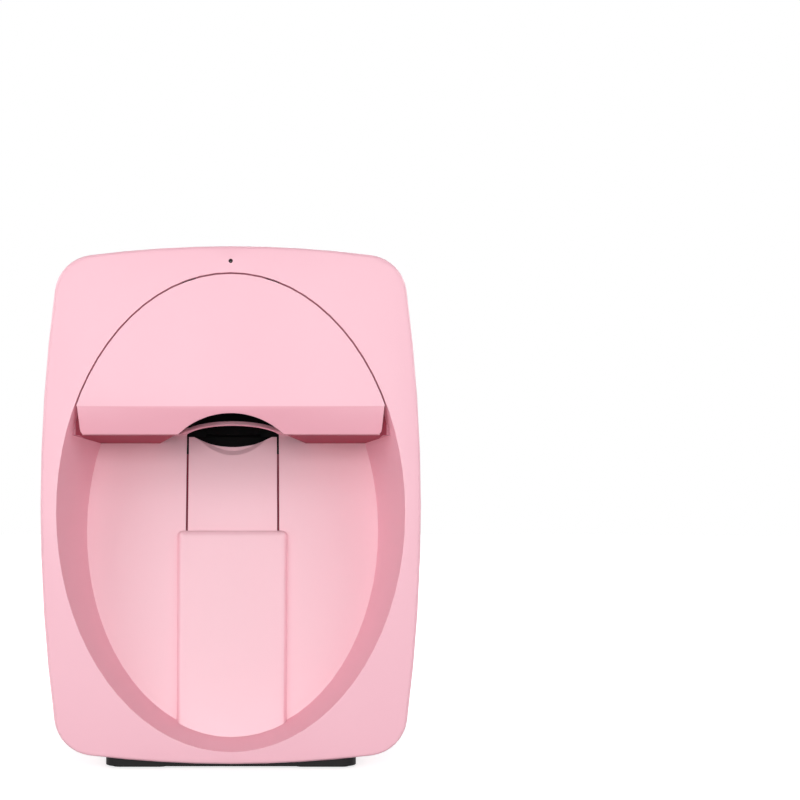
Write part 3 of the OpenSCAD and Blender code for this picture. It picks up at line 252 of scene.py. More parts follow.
@dataclass(frozen=True)
class Finish:
    """One finish of the printer.

    Attributes:
        name: The material's name, which is also the record's slot.
        look: How it is made.
        colour: Its main colour, sRGB.
        second: The colour that it varies towards, sRGB.
        rough: Its mean roughness.
        grain: Count per metre of its finest marks.
        relief: Height of those marks in metres.
        metal: How metallic it is, 0 or 1.
        coat: Strength of a clear layer on top.
        specular: How strongly a plastic mirrors what faces it, 0.5 for a plain one.
        axis: The way that brushed or turned marks run.
    """

    name: str
    look: Look
    colour: Colour
    second: Colour
    rough: float = 0.4
    grain: float = 2600.0
    relief: float = 0.00002
    metal: float = 0.0
    coat: float = 0.0
    specular: float = 0.5
    axis: Point = (1.0, 1.0, 1.0)

    def material(self) -> bpy.types.Material:
        """Builds the finish's material."""
        makers: dict[Look, Callable[[Bench], bpy.types.Material]] = {
            Look.MOULDED: self._moulded,
            Look.ROLLED: self._rolled,
            Look.TURNED: self._turned,
            Look.COATED: self._coated,
            Look.RUBBER: self._rubber,
            Look.BOARD: self._board,
            Look.SLEEVE: self._sleeve,
            Look.GLASS: self._glass,
        }
        return makers[self.look](Bench(self.name))

    def _moulded(self, b: Bench) -> bpy.types.Material:
        """Spark-eroded plastic: fine grain, faint flow marks and a soft sheen."""
        flow = b.noise(14, 2.0, 0.4, (1.0, 1.0, 0.45))
        fine = b.noise(self.grain, 2.0, 0.6)
        pits = b.cells(self.grain * 0.6).step(0.05, 0.5)
        worn = b.noise(420, 4.0, 0.7).step(0.55, 0.75)
        return b.finish(
            Base_Color=b.mix(flow.step(0.3, 0.7) * 0.6 + fine * 0.2, self.colour, self.second),
            Roughness=self.rough - 0.04 + flow * 0.06 + worn * 0.03,
            Normal=b.bump(fine * 0.5 + pits * 0.5, self.relief, 0.6),
            Coat_Weight=self.coat,
            Coat_Roughness=0.12,
            Specular_IOR_Level=self.specular,
        )

    def _rolled(self, b: Bench) -> bpy.types.Material:
        """Bare metal with long marks along one axis."""
        lines = b.noise(self.grain, 3.0, 0.6, self.axis)
        cloud = b.noise(60, 3.0)
        return b.finish(
            Base_Color=b.mix(lines.step(0.3, 0.7) * 0.5 + cloud * 0.5, self.colour, self.second),
            Metallic=self.metal,
            Roughness=self.rough - 0.08 + lines * 0.16,
            Normal=b.bump(lines, self.relief, 0.5),
        )

    def _turned(self, b: Bench) -> bpy.types.Material:
        """Metal with close rings left by a lathe tool."""
        rings = b.node(
            "ShaderNodeTexWave",
            {"wave_type": "BANDS", "bands_direction": "DIAGONAL"},
            {
                "Vector": b.place(tuple(self.grain * a for a in self.axis)), "Scale": 1.0, "Distortion": 0.4,
                "Detail": 2.0,
            },
            "Fac",
        )
        cloud = b.noise(300, 3.0)
        return b.finish(
            Base_Color=b.mix(rings * 0.4 + cloud * 0.6, self.colour, self.second),
            Metallic=self.metal,
            Roughness=self.rough + rings * 0.08,
            Normal=b.bump(rings, self.relief, 0.5),
        )

    def _coated(self, b: Bench) -> bpy.types.Material:
        """Powder-coated sheet with a slight orange peel."""
        peel = b.noise(self.grain, 2.0, 0.5)
        dust = b.noise(180, 4.0, 0.7).step(0.5, 0.8)
        return b.finish(
            Base_Color=b.mix(dust * 0.6, self.colour, self.second),
            Metallic=self.metal,
            Roughness=self.rough + peel * 0.08,
            Specular_IOR_Level=self.specular,
            Normal=b.bump(peel, self.relief, 0.7),
        )

    def _rubber(self, b: Bench) -> bpy.types.Material:
        """Dull rubber with a fine tooth and pale bloom."""
        tooth = b.noise(self.grain, 3.0, 0.7)
        bloom = b.noise(90, 4.0, 0.6).step(0.45, 0.8)
        return b.finish(
            Base_Color=b.mix(bloom * 0.7 + tooth * 0.2, self.colour, self.second),
            Roughness=self.rough + tooth * 0.08,
            Specular_IOR_Level=self.specular,
            Normal=b.bump(tooth, self.relief, 0.8),
        )

    def _board(self, b: Bench) -> bpy.types.Material:
        """Circuit board: masked copper tracks, pads and bare laminate."""
        tracks = b.node(
            "ShaderNodeTexBrick",
            {"offset": 0.35, "squash": 1.6},
            {
                "Vector": b.place(self.grain, (math.radians(90), 0, 0)), "Scale": 1.0, "Mortar Size": 0.07,
                "Mortar Smooth": 0.1,
            },
            "Fac",
        )
        pads = 1 - b.cells(self.grain * 0.5).step(0.1, 0.16)
        weave = b.noise(2400, 1.0)
        green = b.mix(tracks, self.colour, self.second)
        return b.finish(
            Base_Color=b.mix(pads, green, (0.86, 0.80, 0.62)),
            Metallic=pads * 0.9,
            Roughness=self.rough - pads * 0.1 + weave * 0.05,
            Normal=b.bump(tracks * 0.6 + pads * 0.4 + weave * 0.1, self.relief, 0.6),
        )

    def _sleeve(self, b: Bench) -> bpy.types.Material:
        """Shrunk plastic sleeve with faint lengthwise creases."""
        crease = b.noise(500, 3.0, 0.6, (0.08, 1.0, 1.0))
        return b.finish(
            Base_Color=b.mix(crease.step(0.35, 0.75) * 0.5, self.colour, self.second),
            Roughness=self.rough + crease * 0.1,
            Normal=b.bump(crease, self.relief, 0.7),
            Coat_Weight=self.coat,
            Coat_Roughness=0.08,
        )

    def _glass(self, b: Bench) -> bpy.types.Material:
        """Dark coated lens."""
        smear = b.noise(260, 3.0, 0.6)
        return b.finish(
            Base_Color=b.mix(smear * 0.5, self.colour, self.second),
            Roughness=0.04 + smear * 0.05,
            Coat_Weight=0.35,
            Coat_Roughness=0.03,
            Specular_IOR_Level=0.35,
        )


PINK = Finish(
    "shell", Look.MOULDED, (0.996, 0.772, 0.826), (0.990, 0.758, 0.815), 0.42, 2200.0, 0.000012, coat=0.12
)
FINISHES: tuple[Finish, ...] = (
    PINK,
    # Darker pink for the lid's slanted strip: painted shade, since the lid is one pink moulding
    Finish(
        "strip_pink_painted_shade", Look.MOULDED, (0.965, 0.700, 0.760), (0.957, 0.686, 0.748), 0.40, 2200.0, 0.000012,
        coat=0.12,
    ),
    # Deeper pink for the recess's walls: painted shade
    Finish("wall_pink_painted_shade", Look.MOULDED, (0.998, 0.762, 0.818), (0.994, 0.748, 0.806), 0.45, 2200.0, 0.000012),
    # Paler pink for the recess's floor, the tray's face and the palm rest: painted light, offsetting the shade
    # under the lid
    Finish(
        "floor_pink_painted_light", Look.MOULDED, (0.998, 0.822, 0.860), (0.994, 0.810, 0.850), 0.42, 2200.0, 0.000012,
        coat=0.12,
    ),
    # Dark pink for the upstand's front beside the strip's ends: painted shade
    Finish("wedge_pink_painted_shade", Look.MOULDED, (0.760, 0.470, 0.540), (0.740, 0.450, 0.520), 0.5, 2200.0, 0.000012),
    # Dark rose for the underside over the recess, the band round the strip's ends, the lid's lower face and the
    # tray's slits: painted shade
    Finish(
        "deep_rose_painted_shade", Look.MOULDED, (0.640, 0.285, 0.350), (0.615, 0.265, 0.330), 0.6, 2200.0, 0.000012,
        specular=0.1,
    ),
    Finish(
        "base", Look.MOULDED, (0.060, 0.055, 0.057), (0.085, 0.075, 0.078), 0.55, 1500.0, 0.00003, specular=0.2
    ),
    Finish("rubber", Look.RUBBER, (0.05, 0.05, 0.052), (0.09, 0.09, 0.09), 0.75, 1400.0, 0.00005, specular=0.2),
    Finish(
        "inner_plastic", Look.MOULDED, (0.040, 0.038, 0.040), (0.060, 0.056, 0.060), 0.6, 1800.0, 0.00002,
        specular=0.08,
    ),
    Finish(
        "plated_steel", Look.ROLLED, (0.68, 0.69, 0.71), (0.60, 0.61, 0.63), 0.28, 900.0, 0.000006, metal=1.0
    ),
    Finish("lens", Look.GLASS, (0.035, 0.035, 0.045), (0.05, 0.05, 0.07)),
    Finish("board", Look.BOARD, (0.07, 0.27, 0.17), (0.12, 0.38, 0.24), 0.38, 260.0, 0.00004),
    Finish("led_board", Look.BOARD, (0.88, 0.88, 0.85), (0.95, 0.95, 0.93), 0.4, 520.0, 0.00003),
    Finish(
        "chassis", Look.COATED, (0.085, 0.085, 0.09), (0.12, 0.12, 0.125), 0.5, 1100.0, 0.00004, specular=0.2
    ),
    Finish(
        "rod_steel", Look.TURNED, (0.78, 0.79, 0.81), (0.66, 0.67, 0.69), 0.18, 5200.0, 0.000004, metal=1.0,
        axis=(1.0, 0.2, 1.0),
    ),
    Finish("grey_plastic", Look.MOULDED, (0.36, 0.37, 0.40), (0.41, 0.42, 0.45), 0.45, 1800.0, 0.00002),
    Finish("motor", Look.COATED, (0.40, 0.41, 0.43), (0.48, 0.49, 0.51), 0.34, 900.0, 0.00002, metal=0.8),
    Finish(
        "stage_metal", Look.ROLLED, (0.40, 0.41, 0.44), (0.46, 0.47, 0.50), 0.42, 1600.0, 0.00001, metal=0.9,
        axis=(0.06, 1.0, 1.0),
    ),
    Finish("brass", Look.TURNED, (0.84, 0.67, 0.34), (0.74, 0.56, 0.26), 0.28, 4200.0, 0.000008, metal=1.0),
    Finish("aluminium", Look.TURNED, (0.80, 0.81, 0.82), (0.70, 0.71, 0.73), 0.3, 4200.0, 0.000008, metal=1.0),
    Finish("belt", Look.RUBBER, (0.055, 0.055, 0.06), (0.10, 0.10, 0.105), 0.7, 1600.0, 0.00003),
    Finish("camera_plastic", Look.MOULDED, (0.12, 0.125, 0.14), (0.16, 0.165, 0.18), 0.4, 2400.0, 0.000015),
    Finish("cartridge", Look.MOULDED, (0.15, 0.16, 0.19), (0.19, 0.20, 0.23), 0.48, 2000.0, 0.00002),
    Finish("lamp", Look.MOULDED, (0.96, 0.93, 0.80), (0.98, 0.88, 0.52), 0.35, 3000.0, 0.00001),
    Finish("chip", Look.MOULDED, (0.09, 0.09, 0.095), (0.13, 0.13, 0.135), 0.5, 1600.0, 0.00002),
    Finish("battery", Look.SLEEVE, (0.17, 0.33, 0.62), (0.24, 0.42, 0.70), 0.3, relief=0.00006, coat=0.4),
    Finish("button", Look.MOULDED, (0.95, 0.93, 0.935), (0.92, 0.90, 0.905), 0.3, 2600.0, 0.00001, coat=0.3),
)


# ---- pieces -------------------------------------------------------------------------------

# A finish for the faces that a test on a face's centre, in millimetres, and its normal picks; used here for
# painted shade and painted light
Tint = tuple[str, Callable[[Vector, Vector], bool]]


class Maker:
    """Short ways to turn meshes into finished pieces."""

    materials: dict[str, bpy.types.Material] = {}
    slots: dict[str, str] = {}
    bodies: dict[str, str] = {}

    @classmethod
    def dress(cls, piece: bpy.types.Object, finish: str) -> None:
        """Gives every slot of a piece one finish."""
        piece.data.materials.clear()
        piece.data.materials.append(cls.materials[finish])

    @staticmethod
    def link(name: str, mesh: bpy.types.Mesh) -> bpy.types.Object:
        """Puts a mesh in the scene as an object at the origin."""
        made = bpy.data.objects.new(name, mesh)
        bpy.context.scene.collection.objects.link(made)
        return made

    @classmethod
    def keep(
        cls, name: str, forms: Sequence[
            Union[bmesh.types.BMesh, bpy.types.Mesh]
        ], finish: str, body: str, *nodes: str,
        smooth: float = 35.0, even: bool = False
    ) -> bpy.types.Object:
        """Joins meshes into one finished piece that rides on a body.

        Args:
            name: The piece's name.
            forms: Its meshes, with faces pointing outwards. They are freed.
            finish: The finish, which is also its material slot.
            body: The CAD body it moves with.
            *nodes: CAD nodes that it stands for.
            smooth: Edges flatter than this many degrees are shaded smooth.
            even: Whether its large faces decide how its edges are shaded.

        Returns:
            The piece.
        """
        whole = bmesh.new()
        for form in forms:
            mesh = form
            if isinstance(form, bmesh.types.BMesh):
                mesh = bpy.data.meshes.new(name)
                form.to_mesh(mesh)
                form.free()
            whole.from_mesh(mesh)
            bpy.data.meshes.remove(mesh)
        mesh = bpy.data.meshes.new(name)
        whole.to_mesh(mesh)
        whole.free()
        mesh.polygons.foreach_set("use_smooth", [True] * len(mesh.polygons))
        mesh.set_sharp_from_angle(angle=math.radians(smooth))
        piece = cls.link(name, mesh)
        if even:
            cls.even(piece)
        cls.dress(piece, finish)
        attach(piece, body)
        if nodes:
            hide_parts(*nodes)
        LOG.info("%s: %d faces on %s", name, len(mesh.polygons), body)
        return piece

    @staticmethod
    def even(piece: bpy.types.Object) -> None:
        """Lets a piece's large faces decide how its edges are shaded, so that flat faces look flat."""
        weigh = piece.modifiers.new("even", "WEIGHTED_NORMAL")
        weigh.mode, weigh.weight, weigh.keep_sharp = "FACE_AREA", 100, True
        mesh = bpy.data.meshes.new_from_object(piece.evaluated_get(bpy.context.evaluated_depsgraph_get()))
        piece.modifiers.clear()
        mesh.name = piece.name
        piece.data = mesh

    @classmethod
    def moulding(
        cls, node: str, ease: float = 0.0, smooth: float = 30.0, crease: float = 38.0,
        tints: Sequence[Tint] = (), divide: Callable[[bmesh.types.BMesh], None] | None = None,
    ) -> bpy.types.Object:
        """Stands a smoothed copy of a CAD node in its place, with its edges eased.

        Args:
            node: The CAD node.
            ease: How far its sharp edges are eased, in millimetres.
            smooth: Edges flatter than this many degrees are shaded smooth.
            crease: Edges sharper than this many degrees are eased.
            tints: Finishes for some of its faces, which paint shade or light onto them.
            divide: Adds the lines along which a tint ends inside a face.

        Returns:
            The new piece.
        """
        bm = bmesh.new()
        bm.from_mesh(frame["nodes"][node].data)
        bmesh.ops.remove_doubles(bm, verts=bm.verts, dist=2e-6)
        if ease:
            bmesh.ops.dissolve_limit(bm, angle_limit=math.radians(0.4), verts=bm.verts, edges=bm.edges)
        if divide:
            divide(bm)
        mesh = bpy.data.meshes.new(node)
        bm.to_mesh(mesh)
        bm.free()
        if "custom_normal" in mesh.attributes:
            mesh.attributes.remove(mesh.attributes["custom_normal"])
        if ease:
            piece = cls.link(node + "_rough", mesh)
            bevel = piece.modifiers.new("ease", "BEVEL")
            bevel.width, bevel.segments, bevel.limit_method = ease * MM, 2, "ANGLE"
            bevel.angle_limit, bevel.use_clamp_overlap = math.radians(crease), True
            mesh = bpy.data.meshes.new_from_object(piece.evaluated_get(bpy.context.evaluated_depsgraph_get()))
            bpy.data.objects.remove(piece)
        piece = cls.keep(
            node + "_skin", [mesh], cls.slots[node], cls.bodies[node], node, smooth=smooth, even=True
        )
        for finish, picked in tints:
            piece.data.materials.append(cls.materials[finish])
            for face in piece.data.polygons:
                if picked(face.center / MM, face.normal):
                    face.material_index = len(piece.data.materials) - 1
        return piece


# ---- frames and shapes --------------------------------------------------------------------

SLOPE = math.radians(13)
SLOT_DEPTH, SLOT_Z = 0.066271, 0.1847
BODY = Matrix.Translation((0, CAD_BOX[0][1], 0))
SLOPED = BODY @ Matrix.Translation((0, SLOT_DEPTH, SLOT_Z)) @ Matrix.Rotation(-SLOPE, 4, "X")


LOOSE = Matrix.Scale(1 / MM, 4)


def at(place: Matrix, x: float, y: float, z: float) -> Matrix:
    """A frame moved along its own axes, in millimetres."""
    return place @ Matrix.Translation(Vector((x, y, z)) * MM)


@dataclass(frozen=True)
class Extent:
    """Limits of a CAD node in millimetres, read from the frame.

    Attributes:
        low: Lowest x, y and z.
        high: Highest x, y and z.
    """

    low: Point
    high: Point

    @classmethod
    def of(cls, node: str, place: Matrix = SLOPED, keep: Callable[[Vector], bool] = lambda p: True) -> "Extent":
        """Measures a node along the axes of the body or of the sloping mechanism.

        Args:
            node: The CAD node.
            place: The frame to measure in.
            keep: Which points count, in millimetres.

        Returns:
            Its limits.
        """
        back = LOOSE @ place.inverted()
        points = [p for p in (back @ v.co for v in frame["nodes"][node].data.vertices) if keep(p)]
        return cls(
            tuple(min(p[i] for p in points) for i in range(3)),
            tuple(max(p[i] for p in points) for i in range(3)),
        )

    def mid(self, axis: int) -> float:
        """The middle along an axis."""
        return (self.low[axis] + self.high[axis]) / 2

    def size(self, axis: int) -> float:
        """The length along an axis."""
        return self.high[axis] - self.low[axis]


class Shape:
    """A growing mesh: every form is given in millimetres and placed by a matrix in metres."""

    def __init__(self, place: Matrix = BODY) -> None:
        """Starts an empty mesh whose forms are placed by the given frame."""
        self.bm = bmesh.new()
        self.place = place @ Matrix.Scale(MM, 4)

    def block(self, x: Sequence[float], y: Sequence[float], z: Sequence[float], ease: float = 0.2) -> "Shape":
        """Adds a box between three pairs of limits, with its edges eased.

        Args:
            x: Lowest and highest x.
            y: Lowest and highest y.
            z: Lowest and highest z.
            ease: Rounding of the edges.

        Returns:
            The shape itself.
        """
        part = bmesh.new()
        bmesh.ops.create_cube(part, size=1.0)
        for v in part.verts:
            v.co = Vector((x[v.co.x > 0], y[v.co.y > 0], z[v.co.z > 0]))
        if ease:
            bmesh.ops.bevel(part, geom=part.edges[:], offset=ease, segments=2, affect="EDGES", profile=0.6)
        return self.join(part)

    def lathe(
        self, outline: Sequence[tuple[float, float]], centre: Point, axis: str = "y", count: int = 48
    ) -> "Shape":
        """Adds a turned form.

        Args:
            outline: Radius and distance along the axis. A radius of 0 closes an end, and an outline that ends
                where it starts makes a ring.
            centre: The point that the axis passes through.
            axis: Which way the axis runs: x, y or z.
            count: Faces round the axis.

        Returns:
            The shape itself.
        """
        part = bmesh.new()
        turns = [2 * math.pi * i / count for i in range(count)]
        rings = [
            [
                part.verts.new((r * math.cos(a), r * math.sin(a), h))
                for a in (turns if r > 1e-6 else turns[:1])
            ] for r, h in outline
        ]
        for a, b in zip(rings, rings[1:]):
            for i in range(count):
                j = (i + 1) % count
                face = dict.fromkeys([a[i % len(a)], a[j % len(a)], b[j % len(b)], b[i % len(b)]])
                part.faces.new(list(face))
        bmesh.ops.remove_doubles(part, verts=part.verts, dist=1e-5)
        turn = {
            "x": Matrix.Rotation(math.radians(90), 4, "Y"), "y": Matrix.Rotation(math.radians(-90), 4, "X"),
            "z": Matrix(),
        }[axis]
        return self.join(part, Matrix.Translation(centre) @ turn)

    def prism(self, outline: Sequence[tuple[float, float]], y: Sequence[float], ease: float = 0.0) -> "Shape":
        """Adds an outline in x and z that runs from one y to another, its rims eased."""
        part = bmesh.new()
        face = part.faces.new([part.verts.new((px, y[0], pz)) for px, pz in outline])
        made = bmesh.ops.extrude_face_region(part, geom=[face])
        for v in made["geom"]:
            if isinstance(v, bmesh.types.BMVert):
                v.co.y = y[1]
        if ease:
            rim = [e for e in part.edges if abs(e.verts[0].co.y - e.verts[1].co.y) < 1e-6]
            bmesh.ops.bevel(part, geom=rim, offset=ease, segments=2, affect="EDGES", profile=0.6)
        return self.join(part)

    def join(self, part: bmesh.types.BMesh, turn: Matrix = Matrix()) -> "Shape":
        """Adds a closed mesh to this one, turned outwards and placed in the frame. The mesh is freed."""
        bmesh.ops.recalc_face_normals(part, faces=part.faces)
        mesh = bpy.data.meshes.new("part")
        part.to_mesh(mesh)
        part.free()
        mesh.transform(self.place @ turn)
        self.bm.from_mesh(mesh)
        bpy.data.meshes.remove(mesh)
        return self


class Tree:
    """A Geometry Nodes tree with named inputs, run once on a seed mesh in millimetres."""

    def __init__(self, name: str) -> None:
        """Starts an empty tree with geometry in and out."""
        self.group = bpy.data.node_groups.new(name, "GeometryNodeTree")
        self.group.interface.new_socket("Geometry", in_out="INPUT", socket_type="NodeSocketGeometry")
        self.group.interface.new_socket("Geometry", in_out="OUTPUT", socket_type="NodeSocketGeometry")
        self.start = self.group.nodes.new("NodeGroupInput")
        self.end = self.group.nodes.new("NodeGroupOutput")
        self.inputs: dict[str, str] = {}

    @property
    def seed(self) -> bpy.types.NodeSocket:
        """The mesh that the tree works on."""
        return self.start.outputs[0]

    def ask(self, name: str, kind: str) -> bpy.types.NodeSocket:
        """Adds a named input and returns its socket in the tree."""
        made = self.group.interface.new_socket(name, in_out="INPUT", socket_type="NodeSocket" + kind)
        self.inputs[name] = made.identifier
        return self.start.outputs[name]

    def node(
        self, kind: str, settings: dict[str, object], values: dict[Union[int, str], object], out: int = 0
    ) -> bpy.types.NodeSocket:
        """Adds a node with its settings and inputs, and returns one of its outputs."""
        made = self.group.nodes.new(kind)
        for key, setting in settings.items():
            setattr(made, key, setting)
        for key, value in values.items():
            if isinstance(value, bpy.types.NodeSocket):
                self.group.links.new(value, made.inputs[key])
            else:
                made.inputs[key].default_value = value
        return made.outputs[out]

    def copies(
        self, points: bpy.types.NodeSocket, seed: bpy.types.NodeSocket, turn: object = (0, 0, 0)
    ) -> bpy.types.NodeSocket:
        """Puts a copy of a seed on each point."""
        return self.node(
            "GeometryNodeInstanceOnPoints", {}, {"Points": points, "Instance": seed, "Rotation": turn}
        )

    def angle(self, count: bpy.types.NodeSocket) -> bpy.types.NodeSocket:
        """Each copy's share of a full turn, in radians."""
        index = self.node("GeometryNodeInputIndex", {}, {})
        share = self.node("ShaderNodeMath", {"operation": "DIVIDE"}, {0: index, 1: count})
        return self.node("ShaderNodeMath", {"operation": "MULTIPLY"}, {0: share, 1: 2 * math.pi})

    def close(self, *forms: bpy.types.NodeSocket) -> "Tree":
        """Joins the forms and ends the tree in Realize Instances and Set Material."""
        finish = self.ask("Finish", "Material")
        joined = self.group.nodes.new("GeometryNodeJoinGeometry")
        for form in forms:
            self.group.links.new(form, joined.inputs[0])
        real = self.node("GeometryNodeRealizeInstances", {}, {"Geometry": joined.outputs[0]})
        dressed = self.node("GeometryNodeSetMaterial", {}, {"Geometry": real, "Material": finish})
        self.group.links.new(dressed, self.end.inputs[0])
        return self

    def run(self, seed: bmesh.types.BMesh, finish: str, place: Matrix, **inputs: object) -> bpy.types.Mesh:
        """Runs the tree on a seed mesh.

        Args:
            seed: The mesh that the tree works on, in millimetres. It is freed.
            finish: The finish.
            place: The frame that the result is placed in.
            **inputs: A value for each named input.

        Returns:
            The plain result, in metres.
        """
        mesh = bpy.data.meshes.new("seed")
        seed.to_mesh(mesh)
        seed.free()
        piece = Maker.link("seed", mesh)
        modifier = piece.modifiers.new("tree", "NODES")
        modifier.node_group = self.group
        modifier[self.inputs["Finish"]] = Maker.materials[finish]
        for key, value in inputs.items():
            modifier[self.inputs[key]] = value
        done = bpy.data.meshes.new_from_object(piece.evaluated_get(bpy.context.evaluated_depsgraph_get()))
        bpy.data.objects.remove(piece)
        done.transform(place @ Matrix.Scale(MM, 4))
        return done


def row_tree() -> Tree:
    """A tree that repeats its seed in a straight row."""
    tree = Tree("row")
    line = tree.node(
        "GeometryNodeMeshLine", {"mode": "OFFSET"},
        {"Count": tree.ask("Count", "Int"), "Offset": tree.ask("Step", "Vector")},
    )
    return tree.close(tree.copies(line, tree.seed))


def ring_tree() -> Tree:
    """A tree that repeats its seed round the Y axis."""
    tree = Tree("ring")
    count = tree.ask("Count", "Int")
    points = tree.node("GeometryNodeMeshLine", {"mode": "OFFSET"}, {"Count": count, "Offset": (0, 0, 0)})
    turn = tree.node("ShaderNodeCombineXYZ", {}, {1: tree.angle(count)})
    return tree.close(tree.copies(points, tree.seed, turn))


def screw_tree() -> Tree:
    """A tree that cuts a cross into its seed's head, which faces +Y at the origin, and repeats it in a row."""
    tree = Tree("cross_head_row")
    width, depth, reach = (tree.ask(n, "Float") for n in ("Slot", "Depth", "Reach"))
    tall = tree.node("ShaderNodeMath", {"operation": "MULTIPLY"}, {0: depth, 1: 2.0})
    bars = []
    for x, z in ((width, reach), (reach, width)):
        size = tree.node("ShaderNodeCombineXYZ", {}, {0: x, 1: tall, 2: z})
        bars.append(tree.node("GeometryNodeMeshCube", {}, {"Size": size}))
    cut = tree.group.nodes.new("GeometryNodeMeshBoolean")
    cut.operation, cut.solver = "DIFFERENCE", "EXACT"
    tree.group.links.new(tree.seed, cut.inputs["Mesh 1"])
    for bar in bars:
        tree.group.links.new(bar, cut.inputs["Mesh 2"])
    line = tree.node(
        "GeometryNodeMeshLine", {"mode": "OFFSET"},
        {"Count": tree.ask("Count", "Int"), "Offset": tree.ask("Step", "Vector")},
    )
    return tree.close(tree.copies(line, cut.outputs[0]))


def belt_tree() -> Tree:
    """A tree that turns its seed, a closed loop in the XY plane, into a toothed belt that is wide along Z."""
    tree = Tree("toothed_belt")
    width, thick, tooth = (tree.ask(n, "Float") for n in ("Width", "Thickness", "Tooth"))
    loop = tree.node(
        "GeometryNodeSetCurveNormal", {"mode": "Z_UP"},
        {0: tree.node("GeometryNodeMeshToCurve", {}, {0: tree.seed})},
    )
    band = tree.node("GeometryNodeCurvePrimitiveQuadrilateral", {"mode": "RECTANGLE"}, {0: thick, 1: width})
    back = tree.node("ShaderNodeMath", {"operation": "MULTIPLY"}, {0: thick, 1: tree.ask("Side", "Float")})
    shifted = tree.node(
        "GeometryNodeTransform", {},
        {"Geometry": band, "Translation": tree.node("ShaderNodeCombineXYZ", {}, {0: back})},
    )
    swept = tree.node("GeometryNodeCurveToMesh", {}, {0: loop, 1: shifted})
    points = tree.node("GeometryNodeResampleCurve", {}, {"Curve": loop, "Count": tree.ask("Teeth", "Int")})
    form = tree.node("GeometryNodeMeshCylinder", {}, {"Vertices": 8, "Radius": tooth, "Depth": width})
    return tree.close(swept, tree.copies(points, form))


def thread_tree() -> Tree:
    """A tree that winds several starts of a thread round the Z axis, upwards from its origin."""
    tree = Tree("thread")
    starts, turns = tree.ask("Starts", "Int"), tree.ask("Turns", "Float")
    radius, ridge, height = (tree.ask(n, "Float") for n in ("Radius", "Ridge", "Height"))
    coil = tree.node(
        "GeometryNodeCurveSpiral",
        {},
        {"Resolution": 28, "Rotations": turns, "Start Radius": radius, "End Radius": radius, "Height": height},
    )
    section = tree.node(
        "GeometryNodeCurvePrimitiveCircle", {"mode": "RADIUS"}, {"Resolution": 6, "Radius": ridge}
    )
    swept = tree.node("GeometryNodeCurveToMesh", {}, {0: coil, 1: section, "Fill Caps": True})
    points = tree.node("GeometryNodeMeshLine", {"mode": "OFFSET"}, {"Count": starts, "Offset": (0, 0, 0)})
    turn = tree.node("ShaderNodeCombineXYZ", {}, {2: tree.angle(starts)})
    return tree.close(tree.copies(points, swept, turn))


# ---- sub-assemblies -----------------------------------------------------------------------


